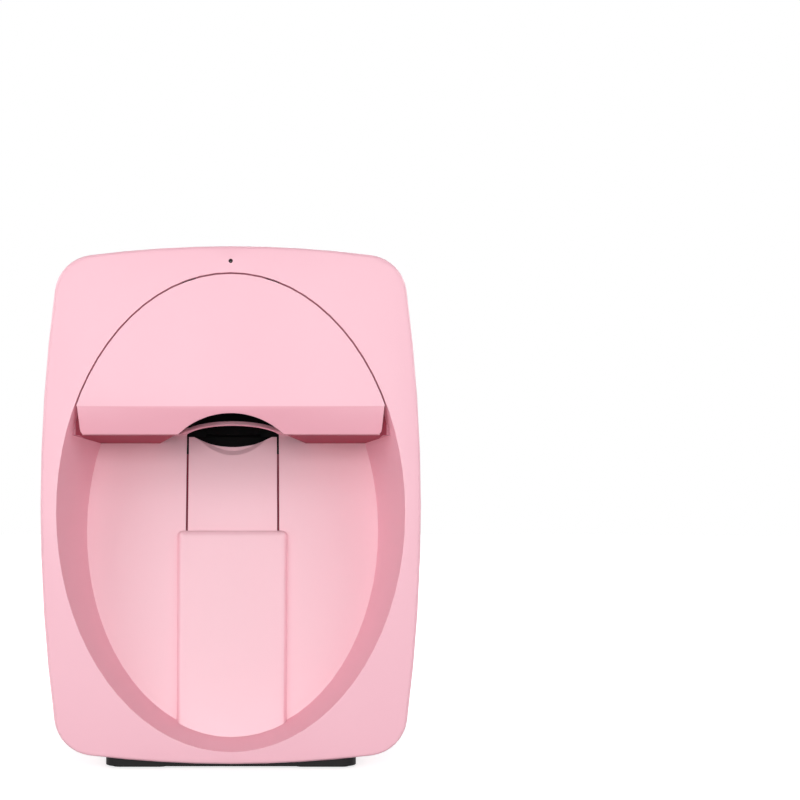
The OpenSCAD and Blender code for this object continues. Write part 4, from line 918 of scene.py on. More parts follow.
@dataclass
class Housing:
    """The pink mouldings that make the outside, with the base under them.

    Attributes:
        lid_ease: Rounding of the lid's edges, in millimetres.
        lid_low: Height of the lid's lower edge.
        strip_h: Height of the slanted strip above that edge.
        runner_w: How far the tray's runners stand out on each side of its face.
        tray_foot: Height of the tray's lower end.
        recess_z: Height of the recess's middle.
        draft: Angle by which the recess's wall draws in.
        bezel: Distances from the middle: inside and corner of the painted shade band beside the strip's ends,
        and its outside.
        below: How far below the lid's lower edge the underside that closes the recess is looked for.
        near: How close to that height its faces have to lie.
        upstand_y: Nearest and furthest distance behind the CAD box's front at which the upstand is looked for.
        upstand_z: Height above that underside up to which the upstand is looked for.
        floor_y: Distance behind the CAD box's front past which the recess's floor is looked for.
        lens_r: Radius of the indicator's dome.
    """

    lid_ease: float = 0.35
    lid_low: float = SLOT_Z / MM
    strip_h: float = 15.2
    runner_w: float = 3.5
    tray_foot: float = 60.0
    recess_z: float = 141.5
    draft: float = math.radians(10)
    bezel: tuple[float, float, float] = (83.0, 84.9, 86.9)
    below: float = 1.0
    near: float = 1.6
    upstand_y: tuple[float, float] = (3.0, 14.0)
    upstand_z: float = 25.0
    floor_y: float = 16.0
    lens_r: float = 1.12

    def build(self) -> None:
        """Makes the shells, the tray, the base and the indicator, with painted shade and painted light on some
        pink faces.
        """
        slot_x = Extent.of("finger_tray").high[0] - self.runner_w
        # Painted shade on the underside over the recess, the slot's sides by the tray, the recess walls, the
        # band round the strip's ends and the upstand beside it; painted light on the recess floor
        Maker.moulding("front_housing", tints=[
            ("deep_rose_painted_shade", self._over_recess),
            (
                "deep_rose_painted_shade", lambda p,
                n: abs(n.x) > 0.95 and 0 < abs(p.x) - slot_x < 1.5 and self.tray_foot < p.z < self.lid_low + 4,
            ),
            ("wall_pink_painted_shade", self._in_recess),
            ("floor_pink_painted_light", self._on_floor),
            ("deep_rose_painted_shade", lambda p, n: self._behind_strip(p, n) and self.bezel[0] < abs(p.x) < self.bezel[2]),
            ("wedge_pink_painted_shade", lambda p, n: self._behind_strip(p, n) and abs(p.x) > self.bezel[2]),
            ("wedge_pink_painted_shade", lambda p, n: self._over_recess(p, n) and abs(p.x) > self.bezel[1]),
        ], divide=self._divide)
        # Painted shade: darker pink on the lid's slanted strip and dark rose on its lowest downward face
        Maker.moulding("lid", self.lid_ease, tints=[
            (
                "strip_pink_painted_shade", lambda p,
                n: n.y < -0.8 and -0.6 < n.z < -0.25 and p.z < self.lid_low + self.strip_h,
            ),
            ("deep_rose_painted_shade", lambda p, n: n.z < -0.9 and p.z < self.lid_low + 1),
        ])
        # Painted light on the tray's face, painted shade on the sides of its runners
        Maker.moulding("finger_tray", 0.3, smooth=24, crease=16, tints=[
            ("floor_pink_painted_light", lambda p, n: n.y < -0.5),
            ("deep_rose_painted_shade", lambda p, n: abs(p.x) > slot_x + 0.05),
        ])
        # Painted light over the whole palm rest
        Maker.moulding("palm_rest", tints=[("floor_pink_painted_light", lambda p, n: True)])
        Maker.moulding("rear_housing")
        for node, ease in (
            ("finger_guard", 0.5),
            ("tray_channel", 0.3),
            ("lid_arms", 0.3),
            ("base_plate", 0.4),
            ("rubber_feet", 0.5),
            ("lid_magnets", 0.15),
            ("magnet_keepers", 0.15),
            ("hinge_pins", 0.2),
        ):
            Maker.moulding(node, ease)
        self._indicator()

    def _behind_strip(self, centre: Vector, normal: Vector) -> bool:
        """Whether a face is the front of the upstand behind the lid's strip."""
        behind, up = centre.y - CAD_BOX[0][1] / MM, centre.z - self.lid_low + self.below
        return normal.y < -0.99 and self.upstand_y[0] < behind < self.upstand_y[1] and 0 < up < self.upstand_z

    def _over_recess(self, centre: Vector, normal: Vector) -> bool:
        """Whether a face is the underside that closes the recess."""
        return normal.z < -0.9 and abs(centre.z - self.lid_low + self.below) < self.near

    def _divide(self, bm: bmesh.types.BMesh) -> None:
        """Draws the outline of the painted shade band round the strip's ends."""
        for far in self.bezel:
            for side in (-1, 1):
                tests = (self._behind_strip, self._over_recess)
                picked = [f for f in bm.faces if any(t(f.calc_center_median() / MM, f.normal) for t in tests)]
                geom = list({e for f in picked for e in (*f.verts, *f.edges)}) + picked
                bmesh.ops.bisect_plane(
                    bm, geom=geom, plane_co=(side * far * MM, 0, 0), plane_no=(1, 0, 0), dist=1e-7
                )

    def _on_floor(self, centre: Vector, normal: Vector) -> bool:
        """Whether a face of the front housing is the recess's sloping floor."""
        return normal.y < -0.9 and centre.y - CAD_BOX[0][1] / MM > self.floor_y and centre.z < self.lid_low

    def _in_recess(self, centre: Vector, normal: Vector) -> bool:
        """Whether a face of the front housing belongs to the recess's drafted wall."""
        inwards = normal.x * centre.x + normal.z * (centre.z - self.recess_z) < 0
        return inwards and abs(
            normal.y + math.sin(self.draft)
        ) < 0.05 and centre.z < self.lid_low + self.strip_h

    def _indicator(self) -> None:
        """The dark dome over the indicator's board."""
        box = Extent.of("indicator_lens", BODY)
        front, back, r = box.low[1], box.high[1], self.lens_r
        dome = [
            (0, front + 0.02), (r * 0.45, front + 0.06), (r * 0.8, front + 0.25), (r, front + 0.6),
            (r, back - 1),
        ]
        collar = [(box.size(0) / 2, back - 1), (box.size(0) / 2, back), (0, back)]
        shape = Shape().lathe(dome + collar, (box.mid(0), 0, box.mid(2)), count=32)
        Maker.keep("indicator_dome", [shape.bm], "lens", "housing", "indicator_lens")
        board = Extent.of("indicator_board", BODY)
        plate = Shape().block(
            (board.low[0], board.high[0]), (board.low[1], board.high[1]), (board.low[2], board.high[2]), 0.1
        )
        Maker.keep("indicator_plate", [plate.bm], "board", "housing", "indicator_board")


@dataclass
class BeltDrive:
    """Toothed belt across the stage, with its pulleys and motor.

    Attributes:
        thickness: Thickness of the belt's band, in millimetres.
        pitch: Distance between two teeth.
        tooth: Radius of a tooth.
        pulley_teeth: Teeth round a pulley.
        side: How far outside its inner face the band's middle lies, as a share of its thickness.
    """

    thickness: float = 1.4
    pitch: float = 2.0
    tooth: float = 0.45
    pulley_teeth: int = 15
    side: float = 0.5

    def build(self) -> None:
        """Makes the belt, both pulleys and the motor."""
        self._belt()
        self._drive_pulley()
        self._idler()
        self._motor()
        Maker.moulding("idler_axle", 0.15)

    def _belt(self) -> None:
        """The belt, as a band with its teeth inside."""
        box = Extent.of("drive_belt")
        outer = box.size(2) / 2
        inner, ends = outer - self.thickness, (box.high[0] - outer, box.low[0] + outer)
        seed = bmesh.new()
        turns = [(ends[0], a) for a in range(-90, 91, 10)] + [(ends[1], a) for a in range(90, 271, 10)]
        loop = [
            seed.verts.new(
                (x + inner * math.cos(math.radians(a)), box.mid(2) + inner * math.sin(math.radians(a)), 0)
            )
            for x, a in turns
        ]
        for a, b in zip(loop, loop[1:] + loop[:1]):
            seed.edges.new((a, b))
        length = 2 * (ends[0] - ends[1]) + 2 * math.pi * inner
        place = SLOPED @ Matrix.Translation((0, box.mid(1) * MM, 0)) @ Matrix.Rotation(math.radians(90), 4, "X")
        band = belt_tree().run(
            seed,
            "belt",
            place,
            Width=box.size(1),
            Thickness=self.thickness,
            Side=self.side,
            Tooth=self.tooth,
            Teeth=int(length / self.pitch),
        )
        Maker.keep("toothed_belt", [band], "belt", "stage", "drive_belt", smooth=40)

    def _wheel(self, box: Extent, belt: Extent, bore: float) -> Shape:
        """A toothed wheel between two flanges, for one pulley."""
        r = belt.size(2) / 2 - self.thickness - 0.1
        step = 2 * math.pi / self.pulley_teeth
        cx, cz = box.mid(0), box.mid(2)
        outline = []
        for i in range(self.pulley_teeth):
            for share, drop in ((-0.28, 0.0), (0.0, 0.0), (0.28, 0.0), (0.36, 0.45), (0.5, 0.6), (0.64, 0.45)):
                a = (i + share) * step
                outline.append((cx + (r - drop) * math.cos(a), cz + (r - drop) * math.sin(a)))
        shape = Shape(SLOPED).prism(outline, (belt.low[1] - 0.3, belt.high[1] + 0.3))
        flange = box.size(2) / 2
        for y, lean in ((belt.low[1] - 1.3, 1), (belt.high[1] + 0.3, -1)):
            back, face = (y, y + 1) if lean > 0 else (y + 1, y)
            shape.lathe(
                [
                    (bore, back), (flange - 0.4, back), (flange, back + 0.35 * lean), (r, face), (bore, face),
                    (bore, back),
                ],
                (cx, 0, cz),
            )
        return shape

    def _drive_pulley(self) -> None:
        """The driven pulley with its shaft."""
        box, belt = Extent.of("drive_pulley"), Extent.of("drive_belt")
        shape = self._wheel(box, belt, 1.4)
        ends = [
            (0, box.low[1]), (1.25, box.low[1]), (1.5, box.low[1] + 0.25), (1.5, box.high[1] - 0.3),
            (1.2, box.high[1]), (0, box.high[1]),
        ]
        shape.lathe(ends, (box.mid(0), 0, box.mid(2)), count=32)
        Maker.keep("belt_drive_pulley", [shape.bm], "aluminium", "drive_pulley", "drive_pulley")

    def _idler(self) -> None:
        """The idler with a small bearing in its bore."""
        box, belt = Extent.of("idler_pulley"), Extent.of("drive_belt")
        shape = self._wheel(box, belt, 3.1)
        Maker.keep("belt_idler_wheel", [shape.bm], "inner_plastic", "idler_pulley", "idler_pulley")
        y0, y1 = box.low[1] + 0.1, box.high[1] - 0.1
        ring = [(1.55, y0), (2.2, y0), (2.3, y0 + 0.25), (2.7, y0 + 0.25), (2.8, y0), (3.1, y0)]
        ring += [(3.1, y1), (2.8, y1), (2.7, y1 - 0.25), (2.3, y1 - 0.25), (2.2, y1), (1.55, y1), (1.55, y0)]
        Maker.keep(
            "idler_bearing", [Shape(SLOPED).lathe(ring, (box.mid(0), 0, box.mid(2))).bm], "rod_steel",
            "idler_pulley",
        )

    def _motor(self) -> None:
        """The motor's drawn can with its crimped end and two terminals."""
        box = Extent.of("carriage_motor")
        r, y, end = box.size(0) / 2, box.low[1], box.high[1]
        can = [
            (0, y + 6), (1.55, y + 6), (1.55, y), (r - 1.2, y), (r - 0.35, y + 0.35), (r, y + 1.2),
            (r, end - 4.6),
        ]
        crimp = [
            (r - 0.35, end - 4.4), (r - 0.35, end - 4.0), (r, end - 3.8), (r, end - 1.8), (r - 0.4, end - 1.2)
        ]
        cap = [(r - 1.4, end - 1.0), (3.4, end - 1.0), (3.0, end - 0.2), (1.6, end), (0, end)]
        shape = Shape(SLOPED).lathe(can + crimp + cap, (box.mid(0), 0, box.mid(2)), count=64)
        Maker.keep("carriage_motor_can", [shape.bm], "motor", "stage", "carriage_motor")
        tabs = Shape(SLOPED)
        for side in (-1, 1):
            x = box.mid(0) + side * 5.5
            tabs.block((x - 1.2, x + 1.2), (end - 1.2, end - 0.1), (box.mid(2) - 0.4, box.mid(2) + 0.4), 0.08)
        Maker.keep("carriage_motor_tabs", [tabs.bm], "brass", "stage")


@dataclass
class ScrewDrive:
    """Lead screw and motor that move the stage along the finger.

    Attributes:
        lead: How far the stage goes in one turn, in millimetres.
        starts: Threads side by side.
        core_r: Radius between the threads.
        ridge: Radius of a thread's section.
    """

    lead: float = 8.0
    starts: int = 4
    core_r: float = 2.45
    ridge: float = 0.54

    def build(self) -> None:
        """Makes the screw, its motor and the guide rods."""
        self._screw()
        self._motor()
        for node, ease in (
            ("stage_rods", 0.25), ("stage_bushes", 0.15), ("lead_nut", 0.2), ("carriage_rails", 0.25)
        ):
            Maker.moulding(node, ease)

    def _screw(self) -> None:
        """The threaded rod with its turned-down ends."""
        box = Extent.of("lead_screw")
        rod = Extent.of("lead_screw", keep=lambda p: abs(p.x - box.mid(0)) > 2)
        x, y, low, high = box.mid(0), box.mid(1), rod.low[2], rod.high[2]
        core = [
            (0, low), (self.core_r - 0.3, low), (self.core_r, low + 0.3), (self.core_r, high - 0.3),
            (self.core_r - 0.3, high),
        ]
        neck = [(1.5, high), (1.5, box.high[2] - 0.3), (1.2, box.high[2]), (0, box.high[2])]
        rod_form = Shape(SLOPED).lathe(core + neck, (x, y, 0), "z", 32)
        height = high - low - 2 * self.ridge
        thread = thread_tree().run(
            bmesh.new(),
            "rod_steel",
            at(SLOPED, x, y, low + self.ridge),
            Starts=self.starts,
            Turns=height / self.lead,
            Radius=self.core_r,
            Ridge=self.ridge,
            Height=height,
        )
        Maker.keep("lead_screw_thread", [rod_form.bm, thread], "rod_steel", "lead_screw", "lead_screw")

    def _motor(self) -> None:
        """The small stepper's can with its plug."""
        box = Extent.of("stage_motor")
        can = Extent.of("stage_motor", keep=lambda p: p.z < box.low[2] + 0.5)
        x, y, r, low, high = can.mid(0), can.mid(1), can.size(0) / 2, box.low[2], box.high[2]
        outline = [
            (0, low + 7), (1.55, low + 7), (1.55, low), (r - 0.5, low), (r, low + 0.5), (r, low + 3.6),
            (r - 0.3, low + 3.8),
        ]
        outline += [
            (r - 0.3, low + 4.2), (r, low + 4.4), (r, high - 0.8), (r - 0.8, high), (2.4, high),
            (2.1, high - 0.5), (0, high - 0.5),
        ]
        shape = Shape(SLOPED).lathe(outline, (x, y, 0), "z", 64)
        Maker.keep("stage_motor_can", [shape.bm], "motor", "housing", "stage_motor")
        plug = Shape(SLOPED).block((x - 3, x + 3), (y + r - 1, box.high[1]), (low + 2, low + 8), 0.3)
        pins = Shape(Matrix()).block((-0.25, 0.25), (-0.8, 0.0), (-0.25, 0.25), 0.05)
        place = at(SLOPED, x - 2.1, box.high[1] + 0.02, low + 5)
        row = row_tree().run(pins.bm, "brass", place, Count=4, Step=(1.4, 0, 0))
        Maker.keep("stage_motor_plug", [plug.bm], "led_board", "housing")
        Maker.keep("stage_motor_pins", [row], "brass", "housing")


@dataclass
class Carriage:
    """Print carriage with its cartridge, latch and camera.

    Attributes:
        ridges: Grip ridges on the cartridge's front.
        ridge_step: Distance between two ridges, in millimetres.
        nozzles: Nozzles in one row.
        knurls: Grips round the camera's barrel.
    """

    ridges: int = 5
    ridge_step: float = 2.4
    nozzles: int = 24
    knurls: int = 28

    def build(self) -> None:
        """Makes the carriage and what it carries."""
        for node, ease in (
            ("carriage", 0.35), ("carriage_bushes", 0.15), ("cartridge_latch", 0.3), ("latch_pin", 0.2)
        ):
            Maker.moulding(node, ease)
        self._cartridge()
        self._nozzles()
        self._camera()

    def _cartridge(self) -> None:
        """The ink cartridge: shell, clipped front, snout and grip ridges."""
        box = Extent.of("ink_cartridge")
        base = Extent.of("ink_cartridge", keep=lambda p: abs(p.x - box.mid(0)) > 12)
        x, z = (box.low[0], box.high[0]), (box.low[2], box.high[2])
        front, back = base.low[1], base.high[1]
        shell = Shape(SLOPED).block(x, (front + 5.2, back), z, 0.8)
        shell.block((x[0] + 0.35, x[1] - 0.35), (front + 4.6, front + 5.6), (z[0] + 0.35, z[1] - 0.35), 0.1)
        shell.block(x, (front, front + 5.0), z, 0.9)
        shell.block(
            (box.mid(0) - 8, box.mid(0) + 8), (back - 1, box.high[1]), (box.mid(2) - 5, box.mid(2) + 5), 0.6
        )
        for side in (-1, 1):
            rail = box.mid(0) + side * 10
            shell.block((rail - 0.8, rail + 0.8), (front - 0.35, front + 0.6), (z[0] + 3, z[1] - 3), 0.3)
        ridge = Shape(LOOSE).block((-8, 8), (box.low[1], front + 0.8), (-0.5, 0.5), 0.25)
        row = row_tree().run(
            ridge.bm,
            "cartridge",
            at(SLOPED, box.mid(0), 0, box.mid(2) - 6.9 - (self.ridges // 2 - 2) * self.ridge_step),
            Count=self.ridges,
            Step=(0, 0, self.ridge_step),
        )
        Maker.keep("cartridge_shell", [shell.bm, row], "cartridge", "carriage", "ink_cartridge")

    def _nozzles(self) -> None:
        """The nozzle plate with two rows of nozzles."""
        box = Extent.of("nozzle_plate")
        face = box.high[1]
        plate = Shape(SLOPED).block(
            (box.low[0], box.high[0]), (box.low[1], face - 0.08), (box.low[2], box.high[2]), 0.15
        )
        Maker.keep("nozzle_face", [plate.bm], "plated_steel", "carriage", "nozzle_plate")
        rows = []
        for z in (-1.6, 1.6):
            dot = Shape(LOOSE).lathe([(0, 0), (0.13, 0), (0.1, 0.05), (0, 0.05)], (0, 0, 0), count=12)
            step = (box.size(0) - 2.4) / (self.nozzles - 1)
            place = at(SLOPED, box.low[0] + 1.2, face - 0.07, box.mid(2) + z)
            rows.append(row_tree().run(dot.bm, "chip", place, Count=self.nozzles, Step=(step, 0, 0)))
        Maker.keep("nozzle_rows", rows, "chip", "carriage")

    def _camera(self) -> None:
        """The camera's body, its barrel with a grip ring, and the lens."""
        box = Extent.of("camera")
        x, z, front, back = box.mid(0), box.mid(2), box.low[1], box.high[1]
        body = Shape(SLOPED).block(
            (box.low[0], box.high[0]), (front, front + 5), (box.low[2], box.high[2]), 0.5
        )
        barrel = [
            (0, front + 4.5), (4.55, front + 4.5), (4.6, front + 6.2), (4.25, front + 6.5), (4.25, front + 9.6),
            (4.6, front + 9.9), (4.6, back - 0.4),
        ]
        barrel += [(4.2, back), (3.75, back), (3.4, back - 1.2), (3.4, back - 3), (0, back - 3)]
        body.lathe(barrel, (x, 0, z), count=56)
        grip = Shape(LOOSE).block((4.1, 4.55), (front + 6.7, front + 9.4), (-0.2, 0.2), 0.1)
        ring = ring_tree().run(grip.bm, "camera_plastic", at(SLOPED, x, 0, z), Count=self.knurls)
        Maker.keep("camera_barrel", [body.bm, ring], "camera_plastic", "carriage", "camera")
        lens = Extent.of("camera_lens")
        high, low = lens.high[1] - 0.15, lens.low[1]
        dome = [
            (0, low + 0.3), (3.3, low + 0.3), (3.3, high - 1.5), (2.6, high - 0.75), (1.8, high - 0.3),
            (0.9, high - 0.06), (0, high),
        ]
        Maker.keep(
            "camera_glass", [Shape(SLOPED).lathe(dome, (x, 0, z), count=48).bm], "lens", "carriage",
            "camera_lens",
        )


@dataclass
class Frame:
    """Sheet and cast parts that carry the mechanism, and the place for the finger.

    Attributes:
        lamps: Lamps on one light board.
        lamp_step: Distance between two lamps, in millimetres.
    """

    lamps: int = 5
    lamp_step: float = 5.6

    def build(self) -> None:
        """Makes the chassis, the stage, the finger bed, its lights and the parking cap."""
        for node, ease in (
            ("chassis", 0.25),
            ("stage_frame", 0.3),
            ("finger_bed", 0.5),
            ("cap_post", 0.4),
            ("nozzle_cap", 0.35),
            ("led_boards", 0.1),
            ("battery_tray", 0.3),
        ):
            Maker.moulding(node, ease)
        self._lights()

    def _lights(self) -> None:
        """A row of small lamps on each light board."""
        rows = []
        for side in (-1, 1):
            face = Extent.of("led_boards", keep=lambda p: p.x * side > 0)
            x = face.low[0] if side > 0 else face.high[0]
            across = (-0.01 - 0.45, -0.01) if side > 0 else (0.01, 0.46)
            lamp = Shape(LOOSE).block(across, (-1.7, 1.7), (-1.4, 1.4), 0.15)
            place = at(SLOPED, x, face.mid(1), face.mid(2) - (self.lamps - 1) / 2 * self.lamp_step)
            rows.append(row_tree().run(lamp.bm, "lamp", place, Count=self.lamps, Step=(0, 0, self.lamp_step)))
        Maker.keep("light_rows", rows, "lamp", "housing")


@dataclass
class Electronics:
    """Main board, power board, battery and fan.

    Attributes:
        pin_step: Distance between two legs of a chip, in millimetres.
        blades: Blades of the fan.
    """

    pin_step: float = 0.8
    blades: int = 7

    def build(self) -> None:
        """Makes the boards with their parts, the battery and the fan."""
        for node, ease in (
            ("main_board", 0.0), ("power_board", 0.0), ("fan_frame", 0.35), ("battery_pack", 0.4)
        ):
            Maker.moulding(node, ease)
        self._chips()
        self._cans()
        self._rotor()

    def _legs(self, x: Sequence[float], z: Sequence[float], board: float) -> list[bpy.types.Mesh]:
        """Four rows of legs round a chip that lies on the board's front."""
        made = []
        for turn, length, reach, centre in (
            (0, x[1] - x[0], (z[1] - z[0]) / 2, ((x[0] + x[1]) / 2, (z[0] + z[1]) / 2)),
            (90, z[1] - z[0], (x[1] - x[0]) / 2, ((x[0] + x[1]) / 2, (z[0] + z[1]) / 2)),
        ):
            count = int((length - 2) / self.pin_step)
            for side in (-1, 1):
                leg = Shape(LOOSE).block((-0.16, 0.16), (-0.32, -0.04), (-0.5, 1.3), 0.06)
                turned = at(BODY, centre[0], board, centre[1]) @ Matrix.Rotation(math.radians(turn), 4, "Y")
                out = side * reach + (0 if side > 0 else -0.8)
                place = at(turned, -(count - 1) / 2 * self.pin_step, 0, out)
                made.append(
                    row_tree().run(leg.bm, "plated_steel", place, Count=count, Step=(self.pin_step, 0, 0))
                )
        return made

    def _chips(self) -> None:
        """Chips, plugs and small parts on the main board."""
        board = Extent.of("main_board", BODY).low[1]
        shape, legs = Shape(), []
        for x, z, tall in (((-20, 4), (140, 164), 2.0), ((16, 28), (146, 160), 1.6)):
            shape.block((x[0] + 1.2, x[1] - 1.2), (board - tall, board - 0.25), (z[0] + 1.2, z[1] - 1.2), 0.3)
            shape.lathe(
                [
                    (0, board - tall - 0.01), (0.7, board - tall - 0.01), (0.8, board - tall + 0.2),
                    (0, board - tall + 0.2),
                ],
                (x[0] + 3.4, 0, z[1] - 3.4), count=16,
            )
            legs += self._legs((x[0] + 1.2, x[1] - 1.2), (z[0] + 1.2, z[1] - 1.2), board)
        for i in range(3):
            z = 120 + 22 * i
            shape.block((-46, -40), (board - 2.2, board), (z, z + 16), 0.4)
            for k in range(7):
                shape.block(
                    (-45.6, -40.4), (board - 7, board - 2.0), (z + 0.6 + 2.2 * k, z + 1.6 + 2.2 * k), 0.15
                )
        Maker.keep("board_chips", [shape.bm], "chip", "housing", "board_parts")
        Maker.keep("board_legs", legs, "plated_steel", "housing")
        plugs, pins = Shape(), []
        for i in range(4):
            x = -44 + 18 * i
            for wall in (
                ((x, x + 13), (98, 99)), ((x, x + 13), (103, 104)), ((x, x + 1), (98.5, 103.5)),
                ((x + 12, x + 13), (98.5, 103.5)),
            ):
                plugs.block(wall[0], (board - 6, board), wall[1], 0.2)
            plugs.block((x + 0.5, x + 12.5), (board - 1.2, board), (98.5, 103.5), 0.1)
            pin = Shape(LOOSE).block((-0.25, 0.25), (-5, -1), (-0.25, 0.25), 0.06)
            pins.append(
                row_tree().run(pin.bm, "brass", at(BODY, x + 2.5, board, 101), Count=5, Step=(2.0, 0, 0))
            )
        Maker.keep("board_plugs", [plugs.bm], "led_board", "housing")
        Maker.keep("board_pins", pins, "brass", "housing")
        small = []
        for z, count in ((128.0, 14), (132.0, 9), (172.0, 12), (178.0, 7)):
            chip = Shape(LOOSE).block((-0.8, 0.8), (-0.55, -0.02), (-0.42, 0.42), 0.1)
            small.append(
                row_tree().run(chip.bm, "chip", at(BODY, -30, board, z), Count=count, Step=(3.6, 0, 0))
            )
        Maker.keep("board_small_parts", small, "chip", "housing")

    def _cans(self) -> None:
        """Three round capacitors in printed sleeves."""
        board = Extent.of("main_board", BODY).low[1]
        sleeves, tops = Shape(), Shape()
        for i in range(3):
            centre = (38, board, 110 + 14 * i)
            sleeves.lathe(
                [
                    (0, 0), (4.9, 0), (5, -0.4), (5, -1.2), (4.7, -1.6), (5, -2.0), (5, -10.6), (4.6, -11),
                    (4.0, -10.85), (0, -10.85),
                ],
                centre, count=40,
            )
            tops.lathe([(0, -10.8), (3.95, -10.8), (3.95, -10.92), (0, -10.95)], centre, count=40)
        Maker.keep("capacitor_sleeves", [sleeves.bm], "battery", "housing")
        Maker.keep("capacitor_tops", [tops.bm], "aluminium", "housing")

    def _rotor(self) -> None:
        """The fan's hub and its curved, twisted blades."""
        box = Extent.of("fan_rotor", BODY)
        shaft = Extent.of("fan_rotor", BODY, lambda p: p.y > box.high[1] - 0.05)
        x, z = box.mid(0), box.mid(2)
        r, y0, tip = 8.4, box.low[1], box.size(0) / 2 - 0.1
        back = box.high[1] - 2.4
        outline = [
            (0, y0 + 0.3), (r - 2.6, y0 + 0.3), (r - 2.2, y0), (r - 0.7, y0), (r, y0 + 0.7), (r, back),
            (shaft.size(0) / 2, back),
        ]
        outline += [(shaft.size(0) / 2, box.high[1] - 0.1), (0, box.high[1])]
        form = Shape().lathe(outline, (x, 0, z), count=56)
        mid, half, rows, columns = (y0 + back) / 2, (back - y0) / 2 - 0.1, 8, 8
        blade = bmesh.new()
        grid: dict[tuple[int, int, int], bmesh.types.BMVert] = {}
        for i in range(rows + 1):
            radius = r - 0.6 + (tip - r + 0.6) * i / rows
            sweep = math.radians(6 + 8 * i / rows)
            for j in range(columns + 1):
                s = 2 * j / columns - 1
                a = sweep + s * math.radians(19 - 3 * i / rows) + math.radians(4) * (1 - s * s)
                y = mid + half * 0.94 * s - 0.5 * (1 - s * s)
                thick = 0.5 * (1 - 0.75 * s * s)
                for side in (-1, 1):
                    grid[i, j, side] = blade.verts.new(
                        (radius * math.sin(a), y - side * thick / 2, radius * math.cos(a))
                    )
        for side in (-1, 1):
            for i in range(rows):
                for j in range(columns):
                    blade.faces.new(
                        [grid[i, j, side], grid[i + 1, j, side], grid[i + 1, j + 1, side], grid[i, j + 1, side]]
                    )
        rim = [(i, 0) for i in range(rows)] + [(rows, j) for j in range(columns)] + [
            (i, columns) for i in range(rows, 0, -1)
        ] + [(0, j) for j in range(columns, 0, -1)]
        for a, b in zip(rim, rim[1:] + rim[:1]):
            blade.faces.new([grid[(*a, -1)], grid[(*b, -1)], grid[(*b, 1)], grid[(*a, 1)]])
        bmesh.ops.recalc_face_normals(blade, faces=blade.faces)
        ring = ring_tree().run(blade, "inner_plastic", at(BODY, x, 0, z), Count=self.blades)
        Maker.keep("fan_blades", [form.bm, ring], "inner_plastic", "fan", "fan_rotor", smooth=50)


@dataclass
class RearFittings:
    """Power button and power inlet on the back.

    Attributes:
        dish: Depth of the finger dish in the button, in millimetres.
        rim: Width of the button's rounded rim.
    """

    dish: float = 0.35
    rim: float = 0.9

    def build(self) -> None:
        """Makes the button, its switch, and the inlet with its contact pin."""
        self._button()
        self._inlet()
        Maker.moulding("button_switch", 0.3)

    def _button(self) -> None:
        """The button's cap: a rounded rim round a shallow dish."""
        box = Extent.of("power_button", BODY)
        cap = Extent.of("power_button", BODY, lambda p: p.y > box.high[1] - 0.1)
        skirt = Extent.of("power_button", BODY, lambda p: abs(p.x - box.mid(0)) > cap.size(0) / 2 + 0.5)
        stem = Extent.of("power_button", BODY, lambda p: p.y < box.low[1] + 0.1)
        r, end = cap.size(0) / 2, box.high[1]
        outline = [
            (0, box.low[1]), (stem.size(0) / 2 - 0.2, box.low[1]), (stem.size(0) / 2, box.low[1] + 0.3),
            (stem.size(0) / 2, skirt.low[1]),
        ]
        outline += [
            (box.size(0) / 2, skirt.low[1]), (box.size(0) / 2, skirt.high[1] - 0.2),
            (box.size(0) / 2 - 0.2, skirt.high[1]), (r, skirt.high[1]),
        ]
        outline += [
            (r - self.rim * (1 - math.cos(a)), end - self.rim * 0.7 * (1 - math.sin(a)))
            for a in (0, 0.3, 0.6, 0.9, 1.2, math.pi / 2)
        ]
        outline += [((r - self.rim) * s, end - self.dish * (1 - s * s)) for s in (0.9, 0.75, 0.5, 0.25, 0.0)]
        shape = Shape().lathe(outline, (box.mid(0), 0, box.mid(2)), count=64)
        Maker.keep("power_button_cap", [shape.bm], "button", "button", "power_button", smooth=50)

    def _inlet(self) -> None:
        """The inlet's block and collar, its bore and the pin in it."""
        box = Extent.of("power_inlet", BODY)
        collar = Extent.of("power_inlet", BODY, lambda p: p.y > box.high[1] - 0.1)
        x, z, end = collar.mid(0), collar.mid(2), box.high[1]
        Maker.moulding("power_inlet", 0.2)
        bore, floor = 2.8, end - 10.4
        pin = [
            (0, floor - 0.5), (0.62, floor - 0.5), (0.65, floor), (0.65, end - 2.4), (0.45, end - 2.0),
            (0.2, end - 1.85), (0, end - 1.8),
        ]
        Maker.keep("inlet_pin", [Shape().lathe(pin, (x, 0, z), count=24).bm], "plated_steel", "housing")
        ring = [
            (bore - 0.02, end - 3.5), (bore - 0.02, floor), (bore - 0.25, floor), (bore - 0.25, end - 3.6),
            (bore - 0.12, end - 3.3), (bore - 0.02, end - 3.5),
        ]
        Maker.keep("inlet_sleeve", [Shape().lathe(ring, (x, 0, z), count=40).bm], "plated_steel", "housing")


